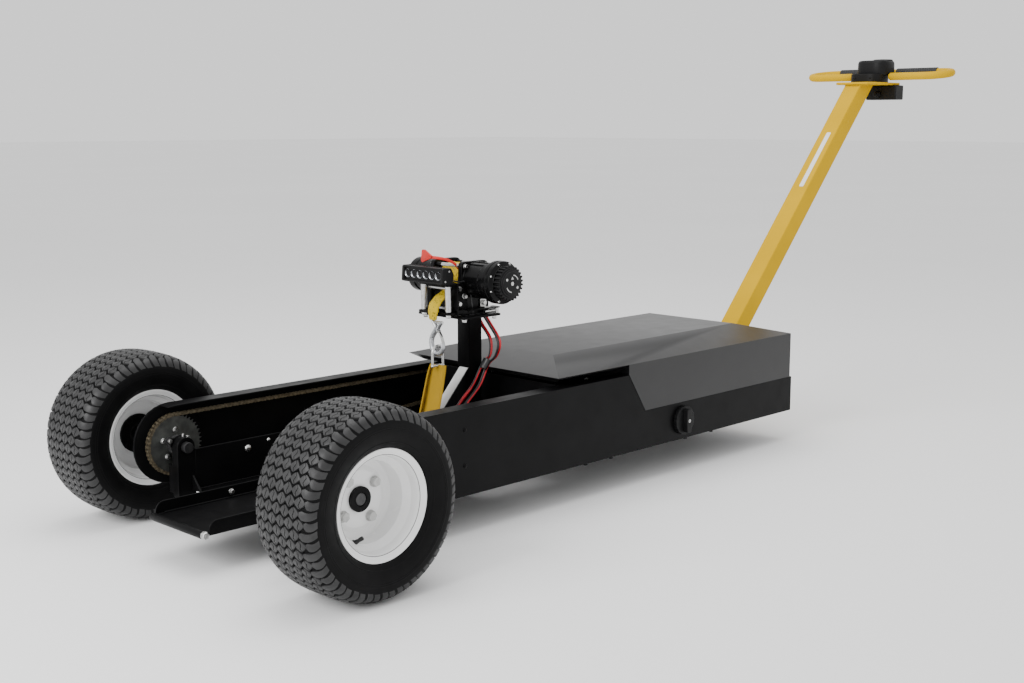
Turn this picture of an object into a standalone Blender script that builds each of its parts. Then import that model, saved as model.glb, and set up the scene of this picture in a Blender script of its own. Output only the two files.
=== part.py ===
"""Walk-behind aircraft pushback tractor, built from its driving dimensions.

Metres, +Z up.  The nose-wheel tray points to -X, the tiller to +X, the left
side is -Y.  Lengths along X are given from the drive-wheel axle; a datum empty
carries that axle to its place, so that the origin is below the box's centre.
"""
import math

import bmesh
import bpy
from mathutils import Matrix, Vector

GAP = 0.0003                  # left between pieces that touch

# drive wheels, a 16x7.50-8 turf tyre on an 8 inch rim
TYRE_RADIUS = 0.2032
TYRE_HALF_WIDTH = 0.0932
WHEEL_Y = 0.4272
RIM_FLANGE_RADIUS = 0.1167
RIM_HALF_WIDTH = 0.0786
AXLE_RADIUS = 0.0127
SPROCKET_Y = 0.255
SPROCKET_RADIUS = 0.066
SPROCKET_HALF = 0.0025
CHAIN_BACK_X = 0.960           # shaft of the drive unit
WHEEL_STEPS = 36

# chassis
HALF_WIDTH = 0.280
SHEET = 0.006
WALL_LOW = 0.092
WALL_HIGH = 0.300
WALL_NOSE_RADIUS = 0.0968
FLANGE_WIDTH = 0.045
BAY_CUT = (0.9652, 0.400)      # upper point of the line that ends the walls' full height
GROOVE_Z = 0.196
SKIRT_FRONT_HIGH = 1.030
SKIRT_FRONT_LOW = 1.100
REAR_X = 1.800
FLOOR_THICK = 0.004
BULKHEAD_X = 0.800
INNER_PLATE_Y = 0.206
INNER_PLATE_HIGH = 0.195
INNER_FRONT = 0.024            # front end of the inner plates and floor strips
INNER_BACK = 0.7025
BLOCK_RADIUS = 0.0235
BLOCK_DEPTH = 0.024
AXLE_HOLE = 0.020

# nose-wheel tray
TRAY_HALF = 0.108
TRAY_FRONT = -0.147
TRAY_BACK = 0.690
TRAY_LOW = 0.088
TRAY_HIGH = 0.120
TRAY_SHEET = 0.004
LIP_RADIUS = 0.009

# hood
HOOD_FRONT = 0.758
HOOD_REAR = 1.790
CREASE_Z = 0.328
CROWN_Z = 0.360
CROWN_FRONT = 0.870
CROWN_REAR = 1.660
CROWN_HALF = 0.158
UNDERCUT = 0.044
HOOD_LOW = 0.302
HOOD_SHEET = 0.004
HINGE_X = 1.788
HINGE_Z = 0.324

# rear caster
CASTER_X = 1.600
CASTER_TRAIL = 0.036
CASTER_RADIUS = 0.0625
CASTER_HALF = 0.019
RAISED_FLOOR = 0.160
RAISED_FROM = 1.440

# winch on its post, its fairlead, rope and sling
POST_HALF = 0.0225
POST_X = 0.7225
POST_HIGH = 0.468
WINCH_X = 0.688
WINCH_Z = 0.5625
DRUM_HALF = 0.038
DRUM_RADIUS = 0.0405           # over the wound rope
FAIRLEAD_X = 0.610
PLATE_THICK = 0.006
WINCH_LOW = 0.4745
SIDE_PLATE = (0.006, 0.020)    # each side plate's faces beyond the drum's end
SIDE_PLATE_HALF = 0.048
TIE_BAR_OFFSET = 0.036
TIE_BAR_RADIUS = 0.005
FAIRLEAD_Y = -0.011
FAIRLEAD_HALF = 0.063
LIGHT_HALF = 0.075
WINDOW_HALF = 0.036
WINDOW_Z = (0.496, 0.546)
SHELF_Z = (0.484, 0.556)
ROLLER_Y = 0.0445
ROLLER_RADIUS = 0.008
LIGHT_BAR = ((0.548, 0.561), (0.586, 0.561), (0.589, 0.584), (0.580, 0.602), (0.551, 0.602))
ROPE_Y = -0.024
ROPE_HALF = 0.019
ROPE_THICK = 0.016
HOOK_X = 0.576
HOOK_Y = -0.038
HOOK_HALF = 0.007
SHACKLE_Z = 0.3865
WEBBING_HALF = 0.026
WEBBING_THICK = 0.016

LEAD_RADIUS = 0.0040
LEAD_COVER_Y = (-0.030, 0.002)

# tiller and handle
TUBE_HALF = 0.031
TILLER_SLOPE = math.radians(47.4)
TILLER_FOOT_X = 1.8063
TILLER_AXIS = (1.893, 0.309)
TILLER_TOP = 1.082
HANDLE_Z = 1.110
HANDLE_RISE = 0.016            # of the loop's rear bar over its front ends
HANDLE_GAP = 0.072             # half the opening between the front ends
HANDLE_FRONT = 2.680
HANDLE_REAR = 2.800
HANDLE_HALF = 0.277
HANDLE_RADIUS = 0.0130
GRIP_RADIUS = 0.0165
HEAD_BASE = (2.618, 2.724, -0.060, 0.060)
HEAD_COVER = (2.638, 2.745, -0.072, 0.048)
HEAD_TOP = 1.170
GAUGE_BOX = (2.698, 2.752, -0.088, 0.028)

AXLE_X = (TYRE_RADIUS - HANDLE_REAR - GRIP_RADIUS) / 2.0
SIDES = (("left", -1.0), ("right", 1.0))

FINISHES = {
    "black_steel": ((0.020, 0.020, 0.022), 0.42, 0.0),
    "hood_black": ((0.035, 0.036, 0.038), 0.36, 0.0),
    "rubber": ((0.035, 0.035, 0.036), 0.82, 0.0),
    "white_rim": ((0.83, 0.83, 0.82), 0.28, 0.0),
    "yellow_paint": ((0.87, 0.63, 0.012), 0.34, 0.0),
    "bright_steel": ((0.62, 0.62, 0.61), 0.28, 1.0),
    "chain_steel": ((0.30, 0.24, 0.14), 0.50, 1.0),
    "black_plastic": ((0.028, 0.028, 0.030), 0.55, 0.0),
    "yellow_webbing": ((0.80, 0.60, 0.02), 0.85, 0.0),
    "white_plastic": ((0.75, 0.75, 0.74), 0.50, 0.0),
    "red_cable": ((0.62, 0.02, 0.02), 0.45, 0.0),
    "battery_case": ((0.10, 0.10, 0.11), 0.60, 0.0),
}


# ---------------------------------------------------------------- helpers

def clear_scene():
    """Remove whatever the open file already holds."""
    for old in list(bpy.data.objects):
        bpy.data.objects.remove(old, do_unlink=True)


def finish(name):
    """The named Principled material."""
    material = bpy.data.materials.get(name)
    if material:
        return material
    colour, rough, metal = FINISHES[name]
    material = bpy.data.materials.new(name)
    material.use_nodes = True
    shader = material.node_tree.nodes["Principled BSDF"]
    shader.inputs["Base Color"].default_value = (*colour, 1.0)
    shader.inputs["Roughness"].default_value = rough
    shader.inputs["Metallic"].default_value = metal
    return material


def empty(name, place, parent=None):
    """An empty at a place given in its parent's frame."""
    holder = bpy.data.objects.new(name, None)
    bpy.context.collection.objects.link(holder)
    holder.location = place
    holder.parent = parent
    return holder


def add(name, bm, material, parent, place=(0.0, 0.0, 0.0), smooth=0.0):
    """One object from a bmesh; smooth is the angle that stays sharp."""
    bmesh.ops.recalc_face_normals(bm, faces=bm.faces)
    mesh = bpy.data.meshes.new(name)
    bm.to_mesh(mesh)
    bm.free()
    mesh.materials.append(finish(material))
    if smooth:
        mesh.shade_smooth()
        mesh.set_sharp_from_angle(angle=math.radians(smooth))
    piece = bpy.data.objects.new(name, mesh)
    bpy.context.collection.objects.link(piece)
    piece.location = place
    piece.parent = parent
    return piece


def hide(tool):
    """Mark an object as a shape that only cuts or joins another."""
    tool.hide_render = True
    tool.display_type = "WIRE"


def boolean(target, tool, operation):
    """Cut or join a hidden shape with an exact Boolean."""
    hide(tool)
    step = target.modifiers.new(operation.lower(), "BOOLEAN")
    step.operation = operation
    step.solver = "EXACT"
    step.object = tool


def cut(target, bm, place=(0.0, 0.0, 0.0)):
    """Take a shape, given in the target's parent frame, out of it."""
    tool = add(target.name + "_cutter", bm, "black_steel", target.parent, place)
    boolean(target, tool, "DIFFERENCE")


def join(target, bm, place=(0.0, 0.0, 0.0)):
    """Add a shape, given in the target's parent frame, to it."""
    tool = add(target.name + "_addition", bm, "black_steel", target.parent, place)
    boolean(target, tool, "UNION")


def box(x0, x1, y0, y1, z0, z1):
    """A block between two corners."""
    bm = bmesh.new()
    size = (x1 - x0, y1 - y0, z1 - z0)
    middle = ((x0 + x1) / 2, (y0 + y1) / 2, (z0 + z1) / 2)
    frame = Matrix.Translation(middle) @ Matrix.Diagonal((*size, 1.0))
    bmesh.ops.create_cube(bm, size=1.0, matrix=frame)
    return bm


def prism(outline, axis, low, high):
    """A flat outline drawn out along an axis.

    The outline holds (y, z) for axis x, (x, z) for axis y, (x, y) for axis z.
    """
    bm = bmesh.new()
    place = {"x": lambda a, b: (low, a, b),
             "y": lambda a, b: (a, low, b),
             "z": lambda a, b: (a, b, low)}[axis]
    ring = [bm.verts.new(place(a, b)) for a, b in outline]
    face = bm.faces.new(ring)
    push = {"x": (high - low, 0, 0), "y": (0, high - low, 0), "z": (0, 0, high - low)}
    made = bmesh.ops.extrude_face_region(bm, geom=[face])
    moved = [v for v in made["geom"] if isinstance(v, bmesh.types.BMVert)]
    bmesh.ops.translate(bm, verts=moved, vec=push[axis])
    return bm


def turned(profile, axis="y", steps=WHEEL_STEPS, closed=False):
    """A turned solid; profile holds (radius, place along the axis).

    A closed profile is a ring that never meets the axis; an open one begins
    and ends on the axis with radius 0.
    """
    bm = bmesh.new()
    turn = {"x": lambda r, a, t: (a, r * math.cos(t), r * math.sin(t)),
            "y": lambda r, a, t: (r * math.cos(t), a, r * math.sin(t)),
            "z": lambda r, a, t: (r * math.cos(t), r * math.sin(t), a)}[axis]
    rings = []
    for radius, along in profile:
        if radius == 0.0:
            rings.append([bm.verts.new(turn(0.0, along, 0.0))] * steps)
            continue
        angles = [2.0 * math.pi * k / steps for k in range(steps)]
        rings.append([bm.verts.new(turn(radius, along, t)) for t in angles])
    pairs = list(zip(rings, rings[1:]))
    if closed:
        pairs.append((rings[-1], rings[0]))
    for one, two in pairs:
        for k in range(steps):
            n = (k + 1) % steps
            corners = []
            for vert in (one[k], one[n], two[n], two[k]):
                if vert not in corners:
                    corners.append(vert)
            bm.faces.new(corners)
    return bm


def frustum(low_box, low_z, high_box, high_z):
    """A solid between two level rectangles (x0, x1, half width)."""
    bm = bmesh.new()
    rings = []
    for (x0, x1, half), z in ((low_box, low_z), (high_box, high_z)):
        corners = ((x0, -half), (x1, -half), (x1, half), (x0, half))
        rings.append([bm.verts.new((x, y, z)) for x, y in corners])
    bm.faces.new(rings[0])
    bm.faces.new(rings[1])
    for k in range(4):
        n = (k + 1) % 4
        bm.faces.new((rings[0][k], rings[0][n], rings[1][n], rings[1][k]))
    return bm


def arc(centre, radius, start, end, steps):
    """Points on an arc, angles in degrees."""
    points = []
    for k in range(steps + 1):
        t = math.radians(start + (end - start) * k / steps)
        points.append((centre[0] + radius * math.cos(t), centre[1] + radius * math.sin(t)))
    return points


def smooth_path(knots, count):
    """Points along a smooth curve through the knots."""
    spans = len(knots) - 1
    points = []
    for k in range(count):
        at = k * spans / (count - 1)
        i = min(int(at), spans - 1)
        t = at - i
        p0 = Vector(knots[max(i - 1, 0)])
        p1 = Vector(knots[i])
        p2 = Vector(knots[i + 1])
        p3 = Vector(knots[min(i + 2, spans)])
        points.append(0.5 * (2 * p1 + (p2 - p0) * t + (2 * p0 - 5 * p1 + 4 * p2 - p3) * t ** 2
                             + (3 * p1 - p0 - 3 * p2 + p3) * t ** 3))
    return points


def tube(name, points, radius, material, parent):
    """A round tube along a list of points, with closed ends."""
    curve = bpy.data.curves.new(name, "CURVE")
    curve.dimensions = "3D"
    curve.bevel_depth = radius
    curve.bevel_resolution = 2
    curve.use_fill_caps = True
    spline = curve.splines.new("POLY")
    spline.points.add(len(points) - 1)
    for spot, where in zip(spline.points, points):
        spot.co = (*where, 1.0)
    curve.materials.append(finish(material))
    piece = bpy.data.objects.new(name, curve)
    bpy.context.collection.objects.link(piece)
    piece.parent = parent
    return piece


# ---------------------------------------------------------------- drive wheels

def tyre_profile():
    """Closed section of a tyre that fills its rim, from bead to bead."""
    w = TYRE_HALF_WIDTH
    r = TYRE_RADIUS
    f = RIM_FLANGE_RADIUS
    h = RIM_HALF_WIDTH
    half = [(r, 0.0), (r - 0.0015, 0.50 * w), (r - 0.0090, 0.83 * w), (r - 0.0230, 0.965 * w),
            (r - 0.0450, w), (r - 0.0720, 0.93 * w), (f + 0.0008, h - 0.0002),
            (f + 0.0006, h - 0.0046), (0.1019, h - 0.0064), (0.1004, 0.0500), (0.0885, 0.0352)]
    mirrored = [(radius, -along) for radius, along in reversed(half[1:])]
    return half + mirrored


def rim_profile():
    """Closed section of the welded disc rim, outer face at +."""
    f = RIM_FLANGE_RADIUS
    h = RIM_HALF_WIDTH
    outside = [(f, h), (f, h - 0.0040), (0.1015, h - 0.0060), (0.1000, 0.0500),
               (0.0880, 0.0350), (0.0880, -0.0350), (0.1000, -0.0500),
               (0.1015, -h + 0.0060), (f, -h + 0.0040), (f, -h)]
    inside = [(f - 0.0047, -h), (0.0985, -h + 0.0030), (0.0965, -0.0500), (0.0845, -0.0370),
              (0.0845, -0.0040), (0.0225, -0.0040), (0.0225, 0.0010), (0.0845, 0.0010),
              (0.0845, 0.0370), (0.0965, 0.0500), (0.0985, h - 0.0030), (f - 0.0047, h)]
    return outside + inside


def axle_profile():
    """Hub, shaft, sprocket disc and end cap, from the outer end inward."""
    disc = SPROCKET_Y - WHEEL_Y
    end = INNER_PLATE_Y - WHEEL_Y
    return [(0.0, 0.0090), (0.0300, 0.0090), (0.0300, 0.0013), (0.0220, 0.0013),
            (0.0220, -0.0043), (0.0480, -0.0043), (0.0480, -0.0110), (0.0220, -0.0110),
            (0.0220, -0.0600), (AXLE_RADIUS, -0.0600), (AXLE_RADIUS, disc + 0.0120),
            (0.0240, disc + 0.0120), (0.0240, disc + SPROCKET_HALF),
            (SPROCKET_RADIUS, disc + SPROCKET_HALF), (SPROCKET_RADIUS, disc - SPROCKET_HALF),
            (0.0200, disc - SPROCKET_HALF), (0.0200, disc - 0.0110),
            (AXLE_RADIUS, disc - 0.0110), (AXLE_RADIUS, end - 0.0020),
            (0.0150, end - 0.0020), (0.0150, end - 0.0120), (0.0, end - 0.0120)]


def drive_wheel(side, sign, datum):
    """Tyre, rim and live axle of one side."""
    hub = empty(side + "_wheel_axis", (0.0, sign * WHEEL_Y, TYRE_RADIUS), datum)
    facing = [(r, sign * a) for r, a in tyre_profile()]
    add(side + "_tyre", turned(facing, closed=True), "rubber", hub, smooth=40)
    facing = [(r, sign * a) for r, a in rim_profile()]
    add(side + "_rim", turned(facing, closed=True), "white_rim", hub, smooth=40)
    facing = [(r, sign * a) for r, a in axle_profile()]
    add(side + "_axle", turned(facing, steps=20), "black_steel", hub, smooth=40)


# ---------------------------------------------------------------- chassis

def side_wall(side, sign, datum):
    """Side wall with an inward top flange, a round nose and an axle hole."""
    outer = sign * HALF_WIDTH
    inner = sign * (HALF_WIDTH - SHEET)
    edge = sign * (HALF_WIDTH - FLANGE_WIDTH)
    section = [(outer, WALL_LOW), (outer, WALL_HIGH), (edge, WALL_HIGH),
               (edge, WALL_HIGH - FLOOR_THICK), (inner, WALL_HIGH - FLOOR_THICK),
               (inner, WALL_LOW)]
    wall = add(side + "_side_wall", prism(section, "x", -0.150, REAR_X), "black_steel", datum)
    nose = [(0.0, WALL_HIGH + 0.1)] + arc((0.0, TYRE_RADIUS), WALL_NOSE_RADIUS, 90, 270, 16)
    nose += [(0.030, WALL_LOW - 0.001), (0.030, WALL_LOW - 0.1), (-0.2, WALL_LOW - 0.1),
             (-0.2, WALL_HIGH + 0.1)]
    cut(wall, prism(nose, "y", -0.4, 0.4))
    hood_bay = [BAY_CUT, (SKIRT_FRONT_LOW, GROOVE_Z - GAP),
                (REAR_X + 0.1, GROOVE_Z - GAP), (REAR_X + 0.1, WALL_HIGH + 0.1)]
    cut(wall, prism(hood_bay, "y", -0.4, 0.4))
    hole = [(0.0, -0.02), (AXLE_HOLE, -0.02), (AXLE_HOLE, 0.02), (0.0, 0.02)]
    cut(wall, turned(hole, steps=24), (0.0, outer, TYRE_RADIUS))


def inner_frame(side, sign, datum):
    """Upright plate beside the bay, and the bearing block on its front end."""
    near = sign * INNER_PLATE_Y
    far = sign * (INNER_PLATE_Y + SHEET)
    low = WALL_LOW + FLOOR_THICK + 0.0008
    outline = [(INNER_FRONT, low), (INNER_BACK, low), (INNER_BACK, INNER_PLATE_HIGH),
               (INNER_FRONT, INNER_PLATE_HIGH)]
    add(side + "_inner_plate", prism(outline, "y", *sorted((near, far))), "black_steel", datum)
    outline = [(-BLOCK_RADIUS, WALL_LOW - 0.008), (BLOCK_RADIUS, WALL_LOW - 0.008)]
    outline += arc((0.0, TYRE_RADIUS), BLOCK_RADIUS, 0, 180, 12)
    back = sign * (INNER_PLATE_Y + BLOCK_DEPTH)
    block = add(side + "_bearing_block", prism(outline, "y", *sorted((near, back))),
                "black_steel", datum)
    hole = [(0.0, -0.05), (AXLE_RADIUS + 0.0008, -0.05), (AXLE_RADIUS + 0.0008, 0.05), (0.0, 0.05)]
    cut(block, turned(hole, steps=24), (0.0, near, TYRE_RADIUS))


def floor_strip(side, sign, datum):
    """Bay floor between the tray and the side wall."""
    low, high = sorted((sign * (TRAY_HALF + GAP), sign * (HALF_WIDTH - SHEET - GAP)))
    strip = box(INNER_FRONT, BULKHEAD_X - GAP, low, high, WALL_LOW, WALL_LOW + FLOOR_THICK)
    add(side + "_floor_strip", strip, "black_steel", datum)


def nose_tray(datum):
    """Channel that carries the nose wheel, its flanges rounded at the front."""
    wide = TRAY_HALF
    slim = TRAY_HALF - TRAY_SHEET
    floor = TRAY_LOW + TRAY_SHEET
    section = [(-wide, TRAY_LOW), (wide, TRAY_LOW), (wide, TRAY_HIGH), (slim, TRAY_HIGH),
               (slim, floor), (-slim, floor), (-slim, TRAY_HIGH), (-wide, TRAY_HIGH)]
    tray = add("nose_wheel_tray", prism(section, "x", TRAY_FRONT, TRAY_BACK), "black_steel", datum)
    corner = 0.022
    outline = arc((TRAY_FRONT + corner, TRAY_HIGH - corner), corner, 90, 180, 6)
    outline += [(TRAY_FRONT - 0.01, TRAY_HIGH - corner), (TRAY_FRONT - 0.01, TRAY_HIGH + 0.01),
                (TRAY_FRONT + corner, TRAY_HIGH + 0.01)]
    cut(tray, prism(outline, "y", -0.2, 0.2))
    reach = wide - 0.006
    bar = [(0.0, -reach), (LIP_RADIUS, -reach), (LIP_RADIUS, reach), (0.0, reach)]
    add("tray_lip_roller", turned(bar, steps=20), "black_steel", datum,
        (TRAY_FRONT - LIP_RADIUS - GAP, 0.0, TRAY_LOW + 0.002), smooth=40)


def battery_box(datum):
    """Bulkhead, stepped floor and rear panel behind the bay."""
    inside = HALF_WIDTH - SHEET - GAP
    add("bulkhead", box(BULKHEAD_X, BULKHEAD_X + 0.004, -0.232, 0.232, WALL_LOW + 0.0045, 0.300),
        "black_steel", datum)
    low = WALL_LOW
    thick = FLOOR_THICK
    outline = [(BULKHEAD_X, low), (RAISED_FROM, low), (RAISED_FROM, RAISED_FLOOR),
               (REAR_X - SHEET - GAP, RAISED_FLOOR), (REAR_X - SHEET - GAP, RAISED_FLOOR + thick),
               (RAISED_FROM - thick, RAISED_FLOOR + thick), (RAISED_FROM - thick, low + thick),
               (BULKHEAD_X, low + thick)]
    add("floor_pan", prism(outline, "y", -inside, inside), "black_steel", datum)
    outline = [(REAR_X - SHEET, WALL_LOW), (REAR_X, WALL_LOW), (REAR_X, GROOVE_Z - GAP),
               (HINGE_X - 0.006, GROOVE_Z - GAP), (HINGE_X - 0.006, HINGE_Z - 0.008),
               (HINGE_X - 0.010, HINGE_Z - 0.008), (HINGE_X - 0.010, GROOVE_Z - 0.006),
               (REAR_X - SHEET, GROOVE_Z - 0.006)]
    add("rear_panel", prism(outline, "y", -0.2700, 0.2700), "black_steel", datum)


def heavy_blocks(datum):
    """Batteries and drive unit as plain blocks at their places."""
    base = WALL_LOW + FLOOR_THICK + GAP
    for side, sign in SIDES:
        low, high = sorted((sign * 0.012, sign * 0.190))
        add(side + "_battery", box(1.150, 1.420, low, high, base, base + 0.205),
            "battery_case", datum)
    add("drive_unit", box(0.860, 1.060, -0.150, 0.150, base, base + 0.170), "black_steel", datum)


def chain(side, sign, datum):
    """Roller chain as a plain closed band, from the wheel to the drive unit."""
    front = (0.0, TYRE_RADIUS)
    back = (CHAIN_BACK_X, TYRE_RADIUS + 0.0353)
    inner = []
    outer = []
    lean = math.degrees(math.atan2(back[1] - front[1], back[0]))
    for ring, extra in ((inner, 0.0), (outer, 0.0085)):
        ring += arc(front, SPROCKET_RADIUS + 0.0008 + extra, 90 + lean + 3, 270 + lean - 3, 18)
        ring += arc(back, 0.0320 + extra, 270 + lean - 3, 450 + lean + 3, 12)
    bm = bmesh.new()
    rows = []
    for y in (sign * SPROCKET_Y - 0.0060, sign * SPROCKET_Y + 0.0060):
        rows.append([bm.verts.new((x, y, z)) for x, z in inner])
        rows.append([bm.verts.new((x, y, z)) for x, z in outer])
    count = len(inner)
    for one, two in ((0, 1), (1, 3), (3, 2), (2, 0)):
        for k in range(count):
            n = (k + 1) % count
            bm.faces.new((rows[one][k], rows[one][n], rows[two][n], rows[two][k]))
    add(side + "_chain", bm, "chain_steel", datum, smooth=40)


def side_knob(datum):
    """Round knob on the left side wall."""
    profile = [(0.0, -0.0270), (0.0200, -0.0270), (0.0220, -0.0240), (0.0220, -0.0150),
               (0.0400, -0.0130), (0.0400, -GAP), (0.0, -GAP)]
    add("side_knob", turned(profile, steps=28), "black_plastic", datum,
        (1.262, -HALF_WIDTH, 0.146), smooth=30)


# ---------------------------------------------------------------- hood

def hood(datum):
    """Hipped sheet hood with side skirts, open below, hinged at its rear edge."""
    hinge = empty("hood_hinge", (HINGE_X, 0.0, HINGE_Z), datum)
    shift = (-HINGE_X, 0.0, -HINGE_Z)

    def shape(grow):
        """The three stacked solids of the hood, moved inward by grow."""
        wide = HALF_WIDTH - grow
        rear = HOOD_REAR - (grow if grow else 0.0)
        top = frustum((HOOD_FRONT + grow * 1.8, rear, wide), CREASE_Z - grow * 0.55,
                      (CROWN_FRONT + grow, CROWN_REAR - grow, CROWN_HALF - grow), CROWN_Z - grow)
        low = HOOD_LOW - grow
        neck = frustum((HOOD_FRONT + UNDERCUT + grow, 1.10, wide - UNDERCUT), low,
                       (HOOD_FRONT + grow * 1.8, 1.10, wide), CREASE_Z - grow * 0.5)
        skirt = [(SKIRT_FRONT_HIGH + 0.0015 + grow, CREASE_Z - grow * 0.5),
                 (SKIRT_FRONT_HIGH + 0.0015 + grow, HOOD_LOW),
                 (SKIRT_FRONT_LOW + 0.0015 + grow, GROOVE_Z - grow * 2),
                 (rear + grow * 3, GROOVE_Z - grow * 2), (rear + grow * 3, CREASE_Z - grow * 0.5)]
        return top, neck, prism(skirt, "y", -wide, wide)

    top, neck, skirt = shape(0.0)
    lid = add("hood", top, "hood_black", hinge, shift)
    join(lid, neck, shift)
    join(lid, skirt, shift)
    for hollow in shape(HOOD_SHEET):
        cut(lid, hollow, shift)
    inner = HALF_WIDTH - UNDERCUT - 2 * HOOD_SHEET
    cut(lid, box(0.930, 1.160, -inner, inner, GROOVE_Z - 0.02, HOOD_LOW + 0.010), shift)


# ---------------------------------------------------------------- caster

def caster(datum):
    """Swivel caster below the raised floor, trailing to the rear."""
    top = RAISED_FLOOR - GAP
    add("caster_plate", box(CASTER_X - 0.055, CASTER_X + 0.055, -0.050, 0.050, top - 0.006, top),
        "bright_steel", datum)
    swivel = empty("caster_swivel", (CASTER_X, 0.0, 0.0), datum)
    race = [(0.0, top - 0.0068), (0.0300, top - 0.0068), (0.0330, top - 0.0180), (0.0, top - 0.0180)]
    fork = add("caster_fork", turned(race, "z", 24), "bright_steel", swivel, smooth=40)
    crown = top - 0.0170
    join(fork, box(-0.024, 0.050, -0.031, 0.031, crown - 0.0060, crown))
    leg = [(-0.020, crown - 0.003), (0.050, crown - 0.003), (CASTER_TRAIL + 0.013, CASTER_RADIUS)]
    leg += arc((CASTER_TRAIL, CASTER_RADIUS), 0.013, -30, -150, 6)
    for _, sign in SIDES:
        low, high = sorted((sign * 0.0310, sign * 0.0270))
        join(fork, prism(leg, "y", low, high))
    axle = empty("caster_axle", (CASTER_TRAIL, 0.0, CASTER_RADIUS), swivel)
    r = CASTER_RADIUS
    h = CASTER_HALF
    wheel = [(0.0, -0.0262), (0.0100, -0.0262), (0.0100, -h), (r - 0.004, -h), (r, -h + 0.005),
             (r, h - 0.005), (r - 0.004, h), (0.0100, h), (0.0100, 0.0262), (0.0, 0.0262)]
    add("caster_wheel", turned(wheel, steps=36), "rubber", axle, smooth=40)


# ---------------------------------------------------------------- winch

def winch_post(datum):
    """Square post in front of the hood, and the plate on top of it."""
    post = add("winch_post", box(POST_X - POST_HALF, POST_X + POST_HALF, -POST_HALF, POST_HALF,
                                 WALL_LOW + FLOOR_THICK + GAP, POST_HIGH + 0.003),
               "black_steel", datum)
    join(post, box(FAIRLEAD_X + 0.012, POST_X + 0.030, -0.085, 0.085, POST_HIGH,
                   POST_HIGH + PLATE_THICK))


def winch(datum):
    """Gearbox, motor, drum, tie bars, fairlead and light bar."""
    centre = (WINCH_X, 0.0, WINCH_Z)
    near, far = SIDE_PLATE
    plate = (WINCH_X - SIDE_PLATE_HALF, WINCH_X + SIDE_PLATE_HALF)
    top = WINCH_Z + SIDE_PLATE_HALF
    start = DRUM_HALF + 0.012
    gearbox = [(0.0, -0.190), (0.038, -0.190), (0.044, -0.184), (0.044, -0.164), (0.054, -0.160),
               (0.054, -0.132), (0.047, -0.126), (0.047, -start), (0.0, -start)]
    body = add("winch_gearbox", turned(gearbox, steps=32), "black_steel", datum, centre, smooth=30)
    join(body, box(*plate, -DRUM_HALF - far, -DRUM_HALF - near, WINCH_LOW, top))
    motor = [(0.0, start), (0.045, start), (0.045, 0.150), (0.038, 0.160), (0.0, 0.160)]
    body = add("winch_motor", turned(motor, steps=32), "black_steel", datum, centre, smooth=30)
    join(body, box(*plate, DRUM_HALF + near, DRUM_HALF + far, WINCH_LOW, top))
    axis = empty("winch_drum_axis", centre, datum)
    drum = [(0.0, -DRUM_HALF), (DRUM_RADIUS, -DRUM_HALF), (DRUM_RADIUS, DRUM_HALF), (0.0, DRUM_HALF)]
    add("winch_drum", turned(drum, steps=28), "yellow_webbing", axis, smooth=30)
    reach = DRUM_HALF + near - GAP
    bar = [(0.0, -reach), (TIE_BAR_RADIUS, -reach), (TIE_BAR_RADIUS, reach), (0.0, reach)]
    for name, sign in (("front_tie_bar", -1.0), ("rear_tie_bar", 1.0)):
        place = (WINCH_X + sign * TIE_BAR_OFFSET, 0.0, WINCH_Z + TIE_BAR_OFFSET)
        add(name, turned(bar, steps=12), "bright_steel", datum, place, smooth=40)
    fairlead(datum)


def fairlead(datum):
    """Roller fairlead and the light bar above it."""
    x0 = FAIRLEAD_X + 0.002
    x1 = FAIRLEAD_X + 0.006
    y0 = FAIRLEAD_Y - FAIRLEAD_HALF
    y1 = FAIRLEAD_Y + FAIRLEAD_HALF
    low, high = SHELF_Z
    plate = add("fairlead", box(x0, x1, y0, y1, low - 0.004, high + 0.004), "black_steel", datum)
    window = (FAIRLEAD_Y - WINDOW_HALF, FAIRLEAD_Y + WINDOW_HALF)
    cut(plate, box(x0 - 0.01, x1 + 0.01, *window, *WINDOW_Z))
    reach = ROLLER_Y + 0.0125
    for z in SHELF_Z:
        join(plate, box(x0 - 0.026, x1 - 0.001, FAIRLEAD_Y - reach, FAIRLEAD_Y + reach,
                        z - 0.003, z + 0.003))
    stem = [(0.0, low + 0.001), (ROLLER_RADIUS, low + 0.001), (ROLLER_RADIUS, high - 0.001),
            (0.0, high - 0.001)]
    for sign in (-1.0, 1.0):
        join(plate, turned(stem, "z", 14), (FAIRLEAD_X - 0.013, FAIRLEAD_Y + sign * ROLLER_Y, 0.0))
    join(plate, box(x0, WINCH_X - SIDE_PLATE_HALF - 0.0005, -0.070, -0.060, low - 0.002, low + 0.008))
    add("light_bar", prism(LIGHT_BAR, "y", FAIRLEAD_Y - LIGHT_HALF, FAIRLEAD_Y + LIGHT_HALF),
        "black_plastic", datum)


def strip(route, thick):
    """Closed (x, z) outline of a strip of even thickness along a route."""
    near = []
    far = []
    for k, spot in enumerate(route):
        run = route[min(k + 1, len(route) - 1)] - route[max(k - 1, 0)]
        side = Vector((-run.z, 0.0, run.x)).normalized() * thick / 2.0
        near.append((spot.x + side.x, spot.z + side.z))
        far.append((spot.x - side.x, spot.z - side.z))
    return near + far[::-1]


def shackle_outline(half, drop):
    """(x, z) outline of the shackle's bow: an arch on two straight legs."""
    outline = arc((HOOK_X, SHACKLE_Z), half, 180, 0, 8)
    return outline + [(HOOK_X + half, SHACKLE_Z - drop), (HOOK_X - half, SHACKLE_Z - drop)]


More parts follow.
